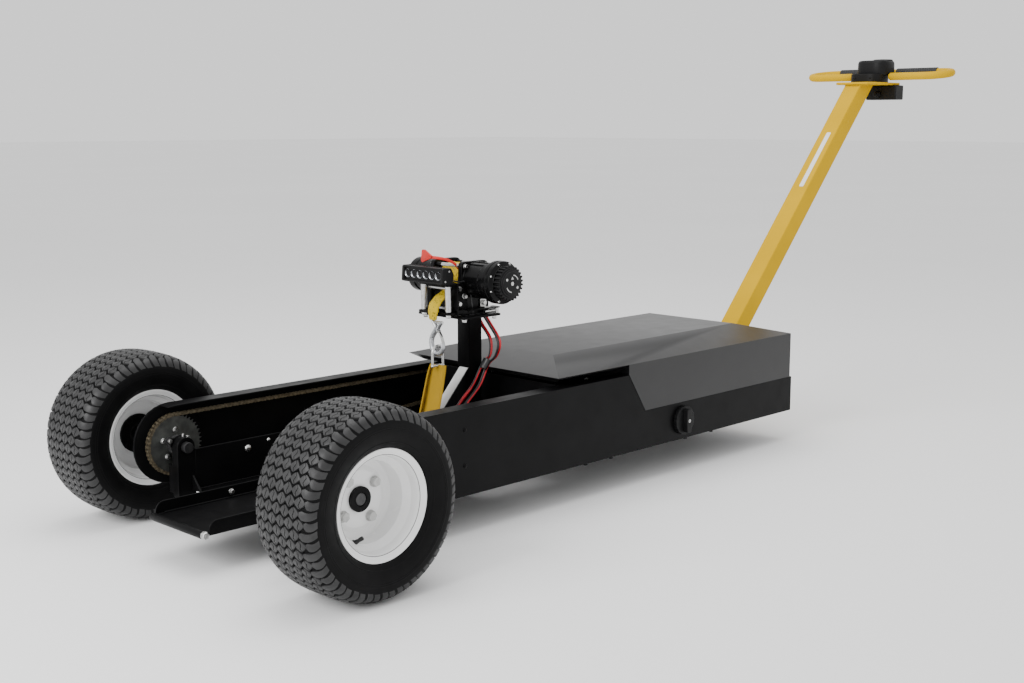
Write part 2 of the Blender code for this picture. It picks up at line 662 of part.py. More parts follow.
def rope_and_sling(datum):
    """Winch rope over the rollers, its hook, the shackle and the sling."""
    route = [(WINCH_X - 0.054, 0.0, WINCH_Z - 0.0245), (0.622, 0.0, 0.533), (0.599, 0.0, 0.522),
             (0.581, 0.0, 0.507), (0.5745, 0.0, 0.488), (0.574, 0.0, 0.468)]
    outline = strip(smooth_path(route, 14), ROPE_THICK)
    add("winch_rope", prism(outline, "y", ROPE_Y - ROPE_HALF, ROPE_Y + ROPE_HALF),
        "yellow_webbing", datum, smooth=40)
    outline = [(-0.015, 0.004), (-0.026, 0.020), (-0.030, 0.050), (-0.021, 0.075), (-0.009, 0.092),
               (0.009, 0.092), (0.020, 0.075), (0.026, 0.055), (0.012, 0.045), (0.009, 0.062),
               (0.0, 0.070), (-0.012, 0.052), (-0.012, 0.026), (0.0, 0.018), (0.012, 0.026),
               (0.024, 0.024), (0.015, 0.006)]
    outline = [(HOOK_Y + y, SHACKLE_Z - 0.0125 + z) for y, z in outline]
    add("winch_hook", prism(outline, "x", HOOK_X - HOOK_HALF, HOOK_X + HOOK_HALF),
        "bright_steel", datum)
    ring = shackle_outline(0.021, 0.036)
    link = add("sling_shackle", prism(ring, "y", HOOK_Y - 0.004, HOOK_Y + 0.004), "bright_steel",
               datum)
    cut(link, prism(shackle_outline(0.014, 0.028), "y", HOOK_Y - 0.03, HOOK_Y + 0.03))
    half = WEBBING_THICK / 2.0
    knots = [(HOOK_X - 0.002, SHACKLE_Z - 0.0370), (0.5455, 0.2150), (0.5000, 0.0980)]
    outline = [(x + half, z) for x, z in knots] + [(x - half, z) for x, z in reversed(knots)]
    add("sling_webbing", prism(outline, "y", HOOK_Y - WEBBING_HALF, HOOK_Y + WEBBING_HALF),
        "yellow_webbing", datum)


def wiring(datum):
    """Winch leads from the motor down into the bay, and their flat cover."""
    red = [(0.757, 0.008, 0.466), (0.755, -0.012, 0.440), (0.749, -0.050, 0.405),
           (0.742, -0.056, 0.365), (0.728, -0.042, 0.340), (0.695, -0.038, 0.287),
           (0.638, -0.038, 0.235), (0.600, -0.038, 0.165), (0.588, -0.038, 0.098)]
    tube("winch_lead_red", smooth_path(red, 34), LEAD_RADIUS, "red_cable", datum)
    black = [(0.757, -0.012, 0.466), (0.755, -0.040, 0.440), (0.750, -0.078, 0.400),
             (0.746, -0.072, 0.362), (0.737, -0.050, 0.336), (0.708, -0.047, 0.284),
             (0.651, -0.047, 0.232), (0.613, -0.047, 0.165), (0.601, -0.047, 0.098)]
    tube("winch_lead_black", smooth_path(black, 34), LEAD_RADIUS, "black_plastic", datum)
    outline = [(0.688, 0.333), (0.692, 0.333), (0.602, 0.235), (0.562, 0.098), (0.558, 0.098),
               (0.598, 0.235)]
    add("lead_cover", prism(outline, "y", *LEAD_COVER_Y), "white_plastic", datum)


# ---------------------------------------------------------------- tiller

def tiller(datum):
    """Square tube from the rear mounting plate up to the handle plate."""
    add("tiller_mount", box(REAR_X + GAP, TILLER_FOOT_X - GAP, -0.060, 0.060, 0.100, 0.275),
        "black_steel", datum)
    run = (math.cos(TILLER_SLOPE), math.sin(TILLER_SLOPE))
    across = (-run[1] * TUBE_HALF, run[0] * TUBE_HALF)
    outline = []
    for side, ends in ((1.0, (0, 1)), (-1.0, (1, 0))):
        px = TILLER_AXIS[0] + side * across[0]
        pz = TILLER_AXIS[1] + side * across[1]
        foot = (TILLER_FOOT_X, pz + (TILLER_FOOT_X - px) * run[1] / run[0])
        head = (px + (TILLER_TOP - pz) * run[0] / run[1], TILLER_TOP)
        outline += [(foot, head)[k] for k in ends]
    stem = add("tiller", prism(outline, "y", -TUBE_HALF, TUBE_HALF), "yellow_paint", datum)
    plate = [(2.552, -0.060), (2.575, -0.075), (2.750, -0.075), (2.750, 0.075), (2.575, 0.075),
             (2.552, 0.060)]
    join(stem, prism(plate, "z", TILLER_TOP - 0.0005, TILLER_TOP + 0.008))
    handle(datum)


def round_box(sides, radius):
    """(x, y) outline of a rectangle (x0, x1, y0, y1) with rounded corners."""
    x0, x1, y0, y1 = sides
    r = radius
    outline = arc((x1 - r, y1 - r), r, 0, 90, 6) + arc((x0 + r, y1 - r), r, 90, 180, 6)
    return outline + arc((x0 + r, y0 + r), r, 180, 270, 6) + arc((x1 - r, y0 + r), r, 270, 360, 6)


def handle(datum):
    """Loop handle open at its front, its grips, control head and gauge box."""
    turn = (HANDLE_REAR - HANDLE_FRONT) / 2.0
    middle = HANDLE_FRONT + turn
    reach = HANDLE_HALF - HANDLE_RADIUS - turn
    front = [(HANDLE_FRONT, HANDLE_GAP)]
    left = [(HANDLE_FRONT, reach)] + arc((middle, reach), turn, 180, 0, 12)[1:-1]
    right = [(HANDLE_REAR, reach)]
    half = front + left + right
    flat = half + [(x, -y) for x, y in reversed(half)]
    lean = HANDLE_RISE / (HANDLE_REAR - HANDLE_FRONT)
    points = [(x, y, HANDLE_Z + (x - HANDLE_FRONT) * lean) for x, y in flat]
    tube("handle_loop", points, HANDLE_RADIUS, "yellow_paint", datum)
    top = TILLER_TOP + 0.008 + GAP
    head = add("control_head", prism(round_box(HEAD_BASE, 0.034), "z", top, top + 0.030),
               "black_plastic", datum)
    join(head, prism(round_box(HEAD_COVER, 0.036), "z", top + 0.025, HEAD_TOP))
    under = TILLER_TOP - 0.0010
    add("gauge_box", box(*GAUGE_BOX, under - 0.050, under), "black_plastic", datum)
    for side, sign in SIDES:
        low, high = sorted((sign * 0.035, sign * 0.190))
        ring = [(GRIP_RADIUS, low), (GRIP_RADIUS, high), (HANDLE_RADIUS + GAP, high),
                (HANDLE_RADIUS + GAP, low)]
        add(side + "_grip", turned(ring, steps=20, closed=True), "black_plastic", datum,
            (HANDLE_REAR, 0.0, HANDLE_Z + HANDLE_RISE), smooth=40)


def main():
    """Build the whole tractor."""
    clear_scene()
    datum = empty("axle_datum", (AXLE_X, 0.0, 0.0))
    for side, sign in SIDES:
        drive_wheel(side, sign, datum)
        side_wall(side, sign, datum)
        inner_frame(side, sign, datum)
        floor_strip(side, sign, datum)
        chain(side, sign, datum)
    nose_tray(datum)
    battery_box(datum)
    heavy_blocks(datum)
    side_knob(datum)
    hood(datum)
    caster(datum)
    winch_post(datum)
    winch(datum)
    rope_and_sling(datum)
    wiring(datum)
    tiller(datum)
    bpy.context.view_layer.update()


main()
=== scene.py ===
"""Looks of a walk-behind aircraft pushback tractor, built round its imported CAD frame.

Metres, +Z up.  The nose-wheel tray points to -X and the tiller to +X; the left side is -Y.
Lengths along X in the classes below are from the drive-wheel axle, and Assembly.place moves
every mesh to the axle's real place.
"""

import logging
import math
import random
from dataclasses import dataclass
from enum import Enum
from typing import Callable, Iterable, Sequence

import bmesh
import bpy
from mathutils import Matrix, Vector


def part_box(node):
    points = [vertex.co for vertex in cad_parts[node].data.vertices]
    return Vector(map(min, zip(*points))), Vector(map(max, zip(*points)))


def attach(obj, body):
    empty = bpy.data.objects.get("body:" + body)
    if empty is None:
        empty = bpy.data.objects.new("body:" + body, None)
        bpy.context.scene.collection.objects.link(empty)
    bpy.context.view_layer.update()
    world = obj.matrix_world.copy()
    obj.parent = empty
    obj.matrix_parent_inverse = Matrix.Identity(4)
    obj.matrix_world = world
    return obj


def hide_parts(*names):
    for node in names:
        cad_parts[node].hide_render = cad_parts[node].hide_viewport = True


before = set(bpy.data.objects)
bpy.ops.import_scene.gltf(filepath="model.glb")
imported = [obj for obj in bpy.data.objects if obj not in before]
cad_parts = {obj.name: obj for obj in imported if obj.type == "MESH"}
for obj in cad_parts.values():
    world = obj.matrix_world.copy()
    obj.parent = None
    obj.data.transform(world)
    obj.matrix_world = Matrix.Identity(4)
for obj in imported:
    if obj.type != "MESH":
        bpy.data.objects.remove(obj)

LOG = logging.getLogger("tractor")
TYRE_LOW, TYRE_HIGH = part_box("left_tyre")
AXLE_X = (TYRE_LOW.x + TYRE_HIGH.x) / 2.0
FULL_TURN = 2.0 * math.pi
SHARP_EDGE = math.radians(34.0)
FLAT_FACES = math.radians(1.0)
SAME_PLACE = 0.00002
Point = Sequence[float]


class Slot(str, Enum):
    """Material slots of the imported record."""

    STEEL = "black_steel"
    HOOD = "hood_black"
    TYRE = "tyre_rubber"
    CASTER = "caster_rubber"
    RIM = "white_rim"
    YELLOW = "yellow_paint"
    BRIGHT = "bright_steel"
    CHAIN = "chain_steel"
    PLASTIC = "black_plastic"
    WINCH = "winch_black"
    ROPE = "rope_yellow"
    WEBBING = "webbing_yellow"
    WHITE = "white_plastic"
    RED = "red_cable"
    BATTERY = "battery_case"


class Body(str, Enum):
    """CAD bodies that pieces ride on."""

    CHASSIS = "chassis"
    LEFT_WHEEL = "left_wheel"
    RIGHT_WHEEL = "right_wheel"
    SWIVEL = "caster_swivel"
    ROLLER = "caster_roller"
    LID = "lid"
    DRUM = "drum"


class Side(Enum):
    """The two sides; the value is the sign of Y."""

    LEFT = -1.0
    RIGHT = 1.0

    @property
    def word(self) -> str:
        """The side's name in lower case."""
        return self.name.lower()

    @property
    def wheel(self) -> Body:
        """The body of this side's drive wheel."""
        return Body.LEFT_WHEEL if self is Side.LEFT else Body.RIGHT_WHEEL


class Grain(Enum):
    """Fine surface structure of a finish."""

    PEEL = "peel"
    CAST = "cast"
    BRUSHED = "brushed"
    RUBBER = "rubber"
    TWILL = "twill"
    BRAID = "braid"


# ---------------------------------------------------------------- finishes

class NodeBench:
    """Adds and joins shader nodes in one material."""

    def __init__(self, material: bpy.types.Material) -> None:
        """Start from the material's Principled shader.

        Args:
            material: a new material.
        """
        material.use_nodes = True
        self.nodes = material.node_tree.nodes
        self.links = material.node_tree.links
        self.shader = self.nodes["Principled BSDF"]

    def add(self, kind: str, **values: object) -> bpy.types.Node:
        """Add a node and set its properties or input sockets by name.

        Args:
            kind: the node's type without its ShaderNode prefix.
            values: property or socket names (underscores for blanks) and values.

        Returns:
            The new node.
        """
        node = self.nodes.new("ShaderNode" + kind)
        for key, value in values.items():
            if hasattr(node, key):
                setattr(node, key, value)
            else:
                node.inputs[key.replace("_", " ")].default_value = value
        return node

    def join(self, source: bpy.types.NodeSocket, target: bpy.types.NodeSocket) -> None:
        """Link two sockets."""
        self.links.new(source, target)


@dataclass(frozen=True)
class Finish:
    """A procedural finish: colour drift, roughness drift and a fine grain."""

    name: str
    slot: Slot
    colour: tuple[float, float, float]
    second: tuple[float, float, float]
    roughness: float
    metallic: float = 0.0
    coat: float = 0.0
    grain: Grain = Grain.PEEL
    grain_size: float = 0.0012
    grain_depth: float = 0.00004
    drift_size: float = 0.12
    roughness_drift: float = 0.06
    specular: float = 0.5

    def material(self) -> bpy.types.Material:
        """The finish's material, made once and then shared.

        Returns:
            The material.
        """
        made = bpy.data.materials.get(self.name)
        if made is not None:
            return made
        made = bpy.data.materials.new(self.name)
        bench = NodeBench(made)
        shader = bench.shader
        shader.inputs["Metallic"].default_value = self.metallic
        shader.inputs["Coat Weight"].default_value = self.coat
        shader.inputs["Coat Roughness"].default_value = 0.12
        shader.inputs["Specular IOR Level"].default_value = self.specular
        place = bench.add("TexCoord").outputs["Object"]
        self.tint(bench, place)
        self.gloss(bench, place)
        self.relief(bench, place)
        return made

    def tint(self, bench: NodeBench, place: bpy.types.NodeSocket) -> None:
        """Let the colour drift between the finish's two colours.

        Args:
            bench: the material's nodes.
            place: object coordinates.
        """
        if self.grain is Grain.TWILL:
            pattern = self.twill(bench, place)
        elif self.grain is Grain.BRAID:
            pattern = self.flecks(bench, place)
        else:
            noise = bench.add("TexNoise", Scale=1.0 / self.drift_size, Detail=4.0)
            bench.join(place, noise.inputs["Vector"])
            pattern = noise.outputs["Fac"]
        ramp = bench.add("ValToRGB")
        ramp.color_ramp.elements[0].position = 0.36
        ramp.color_ramp.elements[0].color = (*self.colour, 1.0)
        ramp.color_ramp.elements[1].position = 0.68
        ramp.color_ramp.elements[1].color = (*self.second, 1.0)
        bench.join(pattern, ramp.inputs["Fac"])
        bench.join(ramp.outputs["Color"], bench.shader.inputs["Base Color"])

    def gloss(self, bench: NodeBench, place: bpy.types.NodeSocket) -> None:
        """Let the roughness drift a little over the surface.

        Args:
            bench: the material's nodes.
            place: object coordinates.
        """
        noise = bench.add("TexNoise", Scale=2.6 / self.drift_size, Detail=3.0)
        bench.join(place, noise.inputs["Vector"])
        spread = bench.add("MapRange", From_Min=0.3, From_Max=0.7)
        spread.inputs["To Min"].default_value = self.roughness - self.roughness_drift
        spread.inputs["To Max"].default_value = self.roughness + self.roughness_drift
        bench.join(noise.outputs["Fac"], spread.inputs["Value"])
        bench.join(spread.outputs["Result"], bench.shader.inputs["Roughness"])

    def relief(self, bench: NodeBench, place: bpy.types.NodeSocket) -> None:
        """Raise the finish's grain as fine bump.

        Args:
            bench: the material's nodes.
            place: object coordinates.
        """
        if self.grain is Grain.TWILL:
            height = self.twill(bench, place)
        elif self.grain is Grain.BRAID:
            height = self.strands(bench, place)
        elif self.grain is Grain.CAST:
            cells = bench.add("TexVoronoi", Scale=1.0 / self.grain_size)
            bench.join(place, cells.inputs["Vector"])
            height = cells.outputs["Distance"]
        else:
            stretch = (1.0, 1.0, 0.04) if self.grain is Grain.BRUSHED else (1.0, 1.0, 1.0)
            mapping = bench.add("Mapping", Scale=stretch)
            bench.join(place, mapping.inputs["Vector"])
            noise = bench.add("TexNoise", Scale=1.0 / self.grain_size, Detail=3.0)
            bench.join(mapping.outputs["Vector"], noise.inputs["Vector"])
            height = noise.outputs["Fac"]
        bump = bench.add("Bump", Strength=1.0, Distance=self.grain_depth)
        bench.join(height, bump.inputs["Height"])
        bench.join(bump.outputs["Normal"], bench.shader.inputs["Normal"])

    def twill(self, bench: NodeBench, place: bpy.types.NodeSocket) -> bpy.types.NodeSocket:
        """Diagonal rows of a woven strap, as a value from 0 to 1.

        Args:
            bench: the material's nodes.
            place: object coordinates.

        Returns:
            The value.
        """
        turn = bench.add("Mapping", Rotation=(0.0, math.radians(90.0), math.radians(38.0)))
        bench.join(place, turn.inputs["Vector"])
        rows = bench.add("TexWave", Scale=0.32 / self.grain_size, Distortion=0.6, Detail=1.0)
        bench.join(turn.outputs["Vector"], rows.inputs["Vector"])
        return rows.outputs["Fac"]

    def flecks(self, bench: NodeBench, place: bpy.types.NodeSocket) -> bpy.types.NodeSocket:
        """Scattered dark threads of a braided rope, near 0 on a fleck.

        Args:
            bench: the material's nodes.
            place: object coordinates.

        Returns:
            The value.
        """
        stretch = bench.add("Mapping", Scale=(1.0, 1.0, 0.45))
        bench.join(place, stretch.inputs["Vector"])
        cells = bench.add("TexVoronoi", Scale=0.24 / self.grain_size)
        bench.join(stretch.outputs["Vector"], cells.inputs["Vector"])
        spread = bench.add("MapRange", From_Min=0.05, From_Max=0.34, To_Min=0.2, To_Max=0.8)
        bench.join(cells.outputs["Distance"], spread.inputs["Value"])
        return spread.outputs["Result"]

    def strands(self, bench: NodeBench, place: bpy.types.NodeSocket) -> bpy.types.NodeSocket:
        """Crossing rows of strands, as height.

        Args:
            bench: the material's nodes.
            place: object coordinates.

        Returns:
            The height.
        """
        heights = []
        for lean in (0.8, -0.8):
            turn = bench.add("Mapping", Rotation=(lean, 0.0, 0.0))
            bench.join(place, turn.inputs["Vector"])
            rows = bench.add("TexWave", Scale=0.3 / self.grain_size, Detail=0.0)
            rows.bands_direction = "Z"
            bench.join(turn.outputs["Vector"], rows.inputs["Vector"])
            heights.append(rows.outputs["Fac"])
        mixed = bench.add("Math", operation="MAXIMUM")
        bench.join(heights[0], mixed.inputs[0])
        bench.join(heights[1], mixed.inputs[1])
        return mixed.outputs["Value"]


POWDER = Finish("powder_coat", Slot.STEEL, (0.0025, 0.0025, 0.0027), (0.004, 0.004, 0.0043), 0.4,
                grain_size=0.0016, grain_depth=0.00003, specular=0.09)
HOOD_PAINT = Finish("hood_paint", Slot.HOOD, (0.006, 0.006, 0.0065), (0.008, 0.008, 0.0085), 0.36,
                    grain_size=0.0014, grain_depth=0.00002, specular=0.45, roughness_drift=0.02)
# Two copies of one rubber: the lighter one below is for the blocks and lugs. The much darker one after it
# is painted shade at the groove bottoms, and it also covers the sidewalls and ribs.
TREAD = Finish("tread_rubber", Slot.TYRE, (0.012, 0.012, 0.0125), (0.026, 0.026, 0.0265), 0.5,
               grain=Grain.RUBBER, grain_size=0.0009, grain_depth=0.00012, drift_size=0.03,
               specular=0.4)
GROOVE_SHADE_RUBBER = Finish("rubber_painted_groove_shade", Slot.TYRE, (0.0022, 0.0022, 0.0024), (0.0036, 0.0036, 0.0038), 0.5,
                  grain=Grain.RUBBER, grain_size=0.0012, grain_depth=0.00005, drift_size=0.05,
                  specular=0.1)
CASTER_RUBBER = Finish("caster_rubber_finish", Slot.CASTER, (0.05, 0.05, 0.052), (0.07, 0.07, 0.07), 0.6,
                       grain=Grain.RUBBER, grain_depth=0.00008, drift_size=0.02)
WHITE_PAINT = Finish("white_gloss", Slot.RIM, (0.8, 0.8, 0.8), (0.86, 0.86, 0.85), 0.24, coat=0.4,
                     grain_size=0.004, grain_depth=0.00004, roughness_drift=0.04)
YELLOW_PAINT = Finish("yellow_gloss", Slot.YELLOW, (0.56, 0.335, 0.0), (0.6, 0.36, 0.0), 0.45,
                      grain_size=0.0018, grain_depth=0.00003, specular=0.04)
ZINC = Finish("zinc_plate", Slot.BRIGHT, (0.55, 0.55, 0.54), (0.68, 0.68, 0.67), 0.3, metallic=1.0,
              grain=Grain.PEEL, grain_size=0.0006, grain_depth=0.00002, drift_size=0.01)
BRUSHED = Finish("brushed_roller", Slot.BRIGHT, (0.56, 0.56, 0.56), (0.72, 0.72, 0.72), 0.34, metallic=1.0,
                 grain=Grain.BRUSHED, grain_size=0.0012, grain_depth=0.00003, drift_size=0.006)
CAST_STEEL = Finish("cast_hook", Slot.BRIGHT, (0.5, 0.51, 0.53), (0.62, 0.63, 0.65), 0.42, metallic=0.9,
                    grain=Grain.CAST, grain_size=0.0011, grain_depth=0.00006, drift_size=0.01)
SPROCKET_STEEL = Finish("sprocket_steel", Slot.BRIGHT, (0.1, 0.105, 0.1), (0.16, 0.165, 0.155), 0.46,
                        metallic=0.9, grain=Grain.BRUSHED, grain_size=0.0015, drift_size=0.02)
CHAIN_STEEL = Finish("chain_brass", Slot.CHAIN, (0.14, 0.115, 0.075), (0.3, 0.255, 0.175), 0.42,
                     metallic=0.85, grain_size=0.0008, drift_size=0.006, roughness_drift=0.12)
DARK_STEEL = Finish("dark_oiled_steel", Slot.STEEL, (0.045, 0.045, 0.047), (0.08, 0.08, 0.08), 0.38,
                    metallic=0.8, grain_size=0.0008, drift_size=0.02)
MOULDED = Finish("moulded_black", Slot.PLASTIC, (0.004, 0.004, 0.0043), (0.0065, 0.0065, 0.0068), 0.44,
                 grain=Grain.CAST, grain_size=0.001, grain_depth=0.00005, specular=0.18)
GRIP_RUBBER = Finish("grip_rubber", Slot.TYRE, (0.008, 0.008, 0.0085), (0.013, 0.013, 0.0135), 0.62,
                     grain=Grain.RUBBER, grain_size=0.0008, grain_depth=0.00008, drift_size=0.01)
CASTING = Finish("winch_casting", Slot.WINCH, (0.002, 0.002, 0.0022), (0.0034, 0.0034, 0.0036), 0.27,
                 grain=Grain.CAST, grain_size=0.0014, grain_depth=0.00003, specular=0.13)
ROPE_FIBRE = Finish("rope_fibre", Slot.ROPE, (0.016, 0.011, 0.001), (0.62, 0.43, 0.004), 0.8,
                    grain=Grain.BRAID, grain_size=0.0012, grain_depth=0.0005)
WEBBING = Finish("sling_webbing_weave", Slot.WEBBING, (0.24, 0.13, 0.0), (0.58, 0.35, 0.0), 0.8,
                 grain=Grain.TWILL, grain_size=0.0011, grain_depth=0.0004)
WHITE_PLASTIC = Finish("white_strip", Slot.WHITE, (0.66, 0.66, 0.66), (0.75, 0.75, 0.75), 0.46,
                       grain_size=0.002, grain_depth=0.00004, drift_size=0.02)
RED_SHEATH = Finish("red_sheath", Slot.RED, (0.5, 0.004, 0.014), (0.6, 0.008, 0.02), 0.34,
                    grain_size=0.002, grain_depth=0.00003, drift_size=0.02)
RED_STRAP = Finish("red_strap", Slot.RED, (0.52, 0.008, 0.003), (0.62, 0.012, 0.005), 0.58,
                   grain=Grain.TWILL, grain_size=0.001, grain_depth=0.0002)
BLACK_SHEATH = Finish("black_sheath", Slot.PLASTIC, (0.012, 0.012, 0.013), (0.018, 0.018, 0.019), 0.36,
                      grain_size=0.002, grain_depth=0.00003, drift_size=0.02)
BATTERY_CASE = Finish("battery_case_finish", Slot.BATTERY, (0.055, 0.056, 0.06), (0.07, 0.071, 0.075), 0.55,
                      grain=Grain.CAST, grain_size=0.0012, grain_depth=0.00005)
LENS = Finish("lamp_reflector", Slot.BRIGHT, (0.3, 0.31, 0.33), (0.44, 0.45, 0.47), 0.22, metallic=1.0,
              grain_size=0.002, grain_depth=0.00002, drift_size=0.01, roughness_drift=0.04)
# Grey paint. On the rim bolts it is darker than their real whitish paint: painted shade that sets them off
# from the rim. On the clutch marks it is their own grey.
GREY_PAINT_AND_BOLT_SHADE = Finish("grey_paint_and_bolt_shade", Slot.RIM, (0.42, 0.42, 0.41), (0.52, 0.52, 0.51), 0.3, coat=0.3,
                    drift_size=0.01)
LAMP_CHIP = Finish("lamp_chip", Slot.WHITE, (0.8, 0.78, 0.6), (0.88, 0.86, 0.72), 0.3, drift_size=0.003)
LABEL = Finish("blank_label", Slot.WHITE, (0.74, 0.73, 0.69), (0.8, 0.79, 0.76), 0.4, drift_size=0.02)


# ---------------------------------------------------------------- mesh bench

def arc(centre: Point, radius: float, start: float, end: float, steps: int) -> list[Point]:
    """Points on an arc in a plane, with the angles in degrees.

    Args:
        centre: middle of the arc.
        radius: its radius.
        start: first angle.
        end: last angle.
        steps: number of spans.

    Returns:
        The points, both ends included.
    """
    points = []
    for k in range(steps + 1):
        t = math.radians(start + (end - start) * k / steps)
        points.append((centre[0] + radius * math.cos(t), centre[1] + radius * math.sin(t)))
    return points


def smooth_path(knots: Sequence[Point], count: int) -> list[Vector]:
    """Points along a smooth curve through the knots.

    Args:
        knots: places the curve passes.
        count: number of points returned.

    Returns:
        Evenly stepped points from the first knot to the last.
    """
    spans = len(knots) - 1
    points = []
    for k in range(count):
        at = k * spans / (count - 1)
        i = min(int(at), spans - 1)
        t = at - i
        p0, p1 = Vector(knots[max(i - 1, 0)]), Vector(knots[i])
        p2, p3 = Vector(knots[i + 1]), Vector(knots[min(i + 2, spans)])
        points.append(0.5 * (2 * p1 + (p2 - p0) * t + (2 * p0 - 5 * p1 + 4 * p2 - p3) * t ** 2
                             + (3 * p1 - p0 - 3 * p2 + p3) * t ** 3))
    return points


def rounded(corners: Sequence[Point], steps: int = 4) -> list[Point]:
    """A closed outline whose corners (a, b, radius) are rounded with arcs.

    Args:
        corners: corners, each with its radius if it has one.
        steps: spans in each arc.

    Returns:
        The outline.
    """
    points = []
    count = len(corners)
    for k, corner in enumerate(corners):
        here = Vector(corner[:2])
        radius = corner[2] if len(corner) > 2 else 0.0
        if radius <= 0.0:
            points.append(tuple(here))
            continue
        back = Vector(corners[k - 1][:2]) - here
        ahead = Vector(corners[(k + 1) % count][:2]) - here
        half = back.angle(ahead) / 2.0
        reach = min(radius / math.tan(half), 0.49 * back.length, 0.49 * ahead.length)
        start = here + back.normalized() * reach
        end = here + ahead.normalized() * reach
        for j in range(steps + 1):
            t = j / steps
            points.append(tuple(start * (1 - t) ** 2 + here * 2 * t * (1 - t) + end * t ** 2))
    return points


def facing(at: Point, direction: Point, roll: float = 0.0) -> Matrix:
    """A frame at a place whose +Z points along a direction, rolled in degrees."""
    turn = Vector(direction).to_track_quat("Z", "Y").to_matrix().to_4x4()
    return Matrix.Translation(at) @ turn @ Matrix.Rotation(math.radians(roll), 4, "Z")


class Shape:
    """A mesh in the making, in metres, with X from the drive-wheel axle."""

    def __init__(self) -> None:
        """Start empty."""
        self.bm = bmesh.new()

    def ring_faces(self, one: list, two: list) -> None:
        """Join two rings of vertices with faces.

        Args:
            one: first ring of vertices.
            two: second ring, as long as the first.
        """
        count = len(one)
        for k in range(count):
            n = (k + 1) % count
            corners = []
            for vert in (one[k], one[n], two[n], two[k]):
                if vert not in corners:
                    corners.append(vert)
            if len(corners) > 2:
                self.bm.faces.new(corners)

    def skin(self, rings: list, closed: bool = False, capped: bool = True) -> None:
        """Cover a row of rings with faces.

        Args:
            rings: rings of vertices, one after the other.
            closed: whether the last ring joins the first.
            capped: whether the end rings are filled when the row is open.
        """
        for one, two in zip(rings, rings[1:]):
            self.ring_faces(one, two)
        if closed:
            self.ring_faces(rings[-1], rings[0])
        elif capped:
            self.bm.faces.new(rings[0])
            self.bm.faces.new(rings[-1])

    def block(self, low: Point, high: Point, at: Matrix = Matrix()) -> "Shape":
        """A box between two corners, given in the frame at."""
        outline = ((low[0], low[1]), (high[0], low[1]), (high[0], high[1]), (low[0], high[1]))
        return self.prism(outline, "z", low[2], high[2], at)

    def prism(self, outline: Sequence[Point], axis: str, low: float, high: float,
              at: Matrix = Matrix()) -> "Shape":
        """An outline drawn out along an axis.

        Args:
            outline: (y, z) for axis x, (x, z) for axis y, (x, y) for axis z.
            axis: the letter of the axis.
            low: one end along the axis.
            high: the other end.
            at: the frame that the numbers are in.

        Returns:
            This shape, so that calls can follow each other.
        """
        order = {"x": lambda a, b, c: (c, a, b), "y": lambda a, b, c: (a, c, b),
                 "z": lambda a, b, c: (a, b, c)}[axis]
        rings = []
        for c in sorted((low, high)):
            rings.append([self.bm.verts.new(at @ Vector(order(a, b, c))) for a, b in outline])
        self.bm.faces.new(rings[0])
        self.bm.faces.new(rings[1])
        self.ring_faces(rings[0], rings[1])
        return self

    def lathe(self, profile: Sequence[Point], at: Matrix, steps: int = 48,
              closed: bool = False) -> "Shape":
        """Turn a profile of (radius, along) about the +Z of the frame at.

        Args:
            profile: a closed ring of points, or a line that begins and ends at radius 0.
            at: frame whose +Z is the axis.
            steps: faces round the axis.
            closed: True for a ring that never meets the axis.

        Returns:
            This shape.
        """
        rings = []
        for radius, along in profile:
            if radius == 0.0:
                rings.append([self.bm.verts.new(at @ Vector((0.0, 0.0, along)))] * steps)
                continue
            ring = []
            for k in range(steps):
                t = FULL_TURN * k / steps
                ring.append(self.bm.verts.new(
                    at @ Vector((radius * math.cos(t), radius * math.sin(t), along))))
            rings.append(ring)
        self.skin(rings, closed, capped=False)
        return self

    def rod(self, radius: float, length: float, at: Matrix, steps: int = 24,
            edge: float = 0.0006) -> "Shape":
        """A round bar along +Z of the frame at, its two ends chamfered.

        Args:
            radius: its radius.
            length: its length.
            at: frame of its first end.
            steps: faces round it.
            edge: size of the chamfers.

        Returns:
            This shape.
        """
        profile = [(0.0, 0.0), (radius - edge, 0.0), (radius, edge), (radius, length - edge),
                   (radius - edge, length), (0.0, length)]
        return self.lathe(profile, at, steps)

    def sweep(self, path: Sequence[Vector], size: Callable[[float], tuple[float, float]],
              sides: int = 12, cyclic: bool = False, up: Point = (0.0, 1.0, 0.0)) -> "Shape":
        """A tube along a path, with an oval section.

        Args:
            path: centre line.
            size: half width (towards up) and half thickness at a share 0..1 of the path.
            sides: faces round the tube.
            cyclic: whether the path closes.
            up: direction that the section's width follows.

        Returns:
            This shape.
        """
        count = len(path)
        rings = []
        for k, centre in enumerate(path):
            before = path[(k - 1) % count] if cyclic or k else path[0]
            after = path[(k + 1) % count] if cyclic or k < count - 1 else path[-1]
            along = (after - before).normalized()
            wide = (Vector(up) - along * along.dot(Vector(up))).normalized()
            thin = along.cross(wide)
            a, b = size(k / max(count - 1, 1))
            ring = []
            for j in range(sides):
                t = FULL_TURN * (j + 0.5) / sides
                ring.append(self.bm.verts.new(centre + wide * a * math.cos(t)
                                              + thin * b * math.sin(t)))
            rings.append(ring)
        self.skin(rings, cyclic)
        return self

    def hex_bolt(self, at: Point, direction: Point, across: float, height: float,
                 roll: float = 0.0, washer: float = 0.0) -> "Shape":
        """A hexagon head with a chamfered top, on a washer if its radius is given.

        Args:
            at: where it stands.
            direction: the way it points.
            across: width across the flats.
            height: height of the head.
            roll: turn of the head in degrees.
            washer: radius of the washer, or 0.

        Returns:
            This shape.
        """
        place = facing(at, direction, roll)
        base = 0.0
        if washer:
            base = 0.0016
            self.rod(washer, base, place, 24, 0.0003)
        outer = across / math.sqrt(3.0)
        rings = []
        for radius, z in ((outer, base), (outer, height * 0.84 + base),
                          (outer * 0.9, height + base), (outer * 0.55, height + base)):
            ring = []
            for k in range(6):
                t = math.radians(60.0 * k)
                ring.append(self.bm.verts.new(
                    place @ Vector((radius * math.cos(t), radius * math.sin(t), z))))
            rings.append(ring)
        self.skin(rings)
        return self

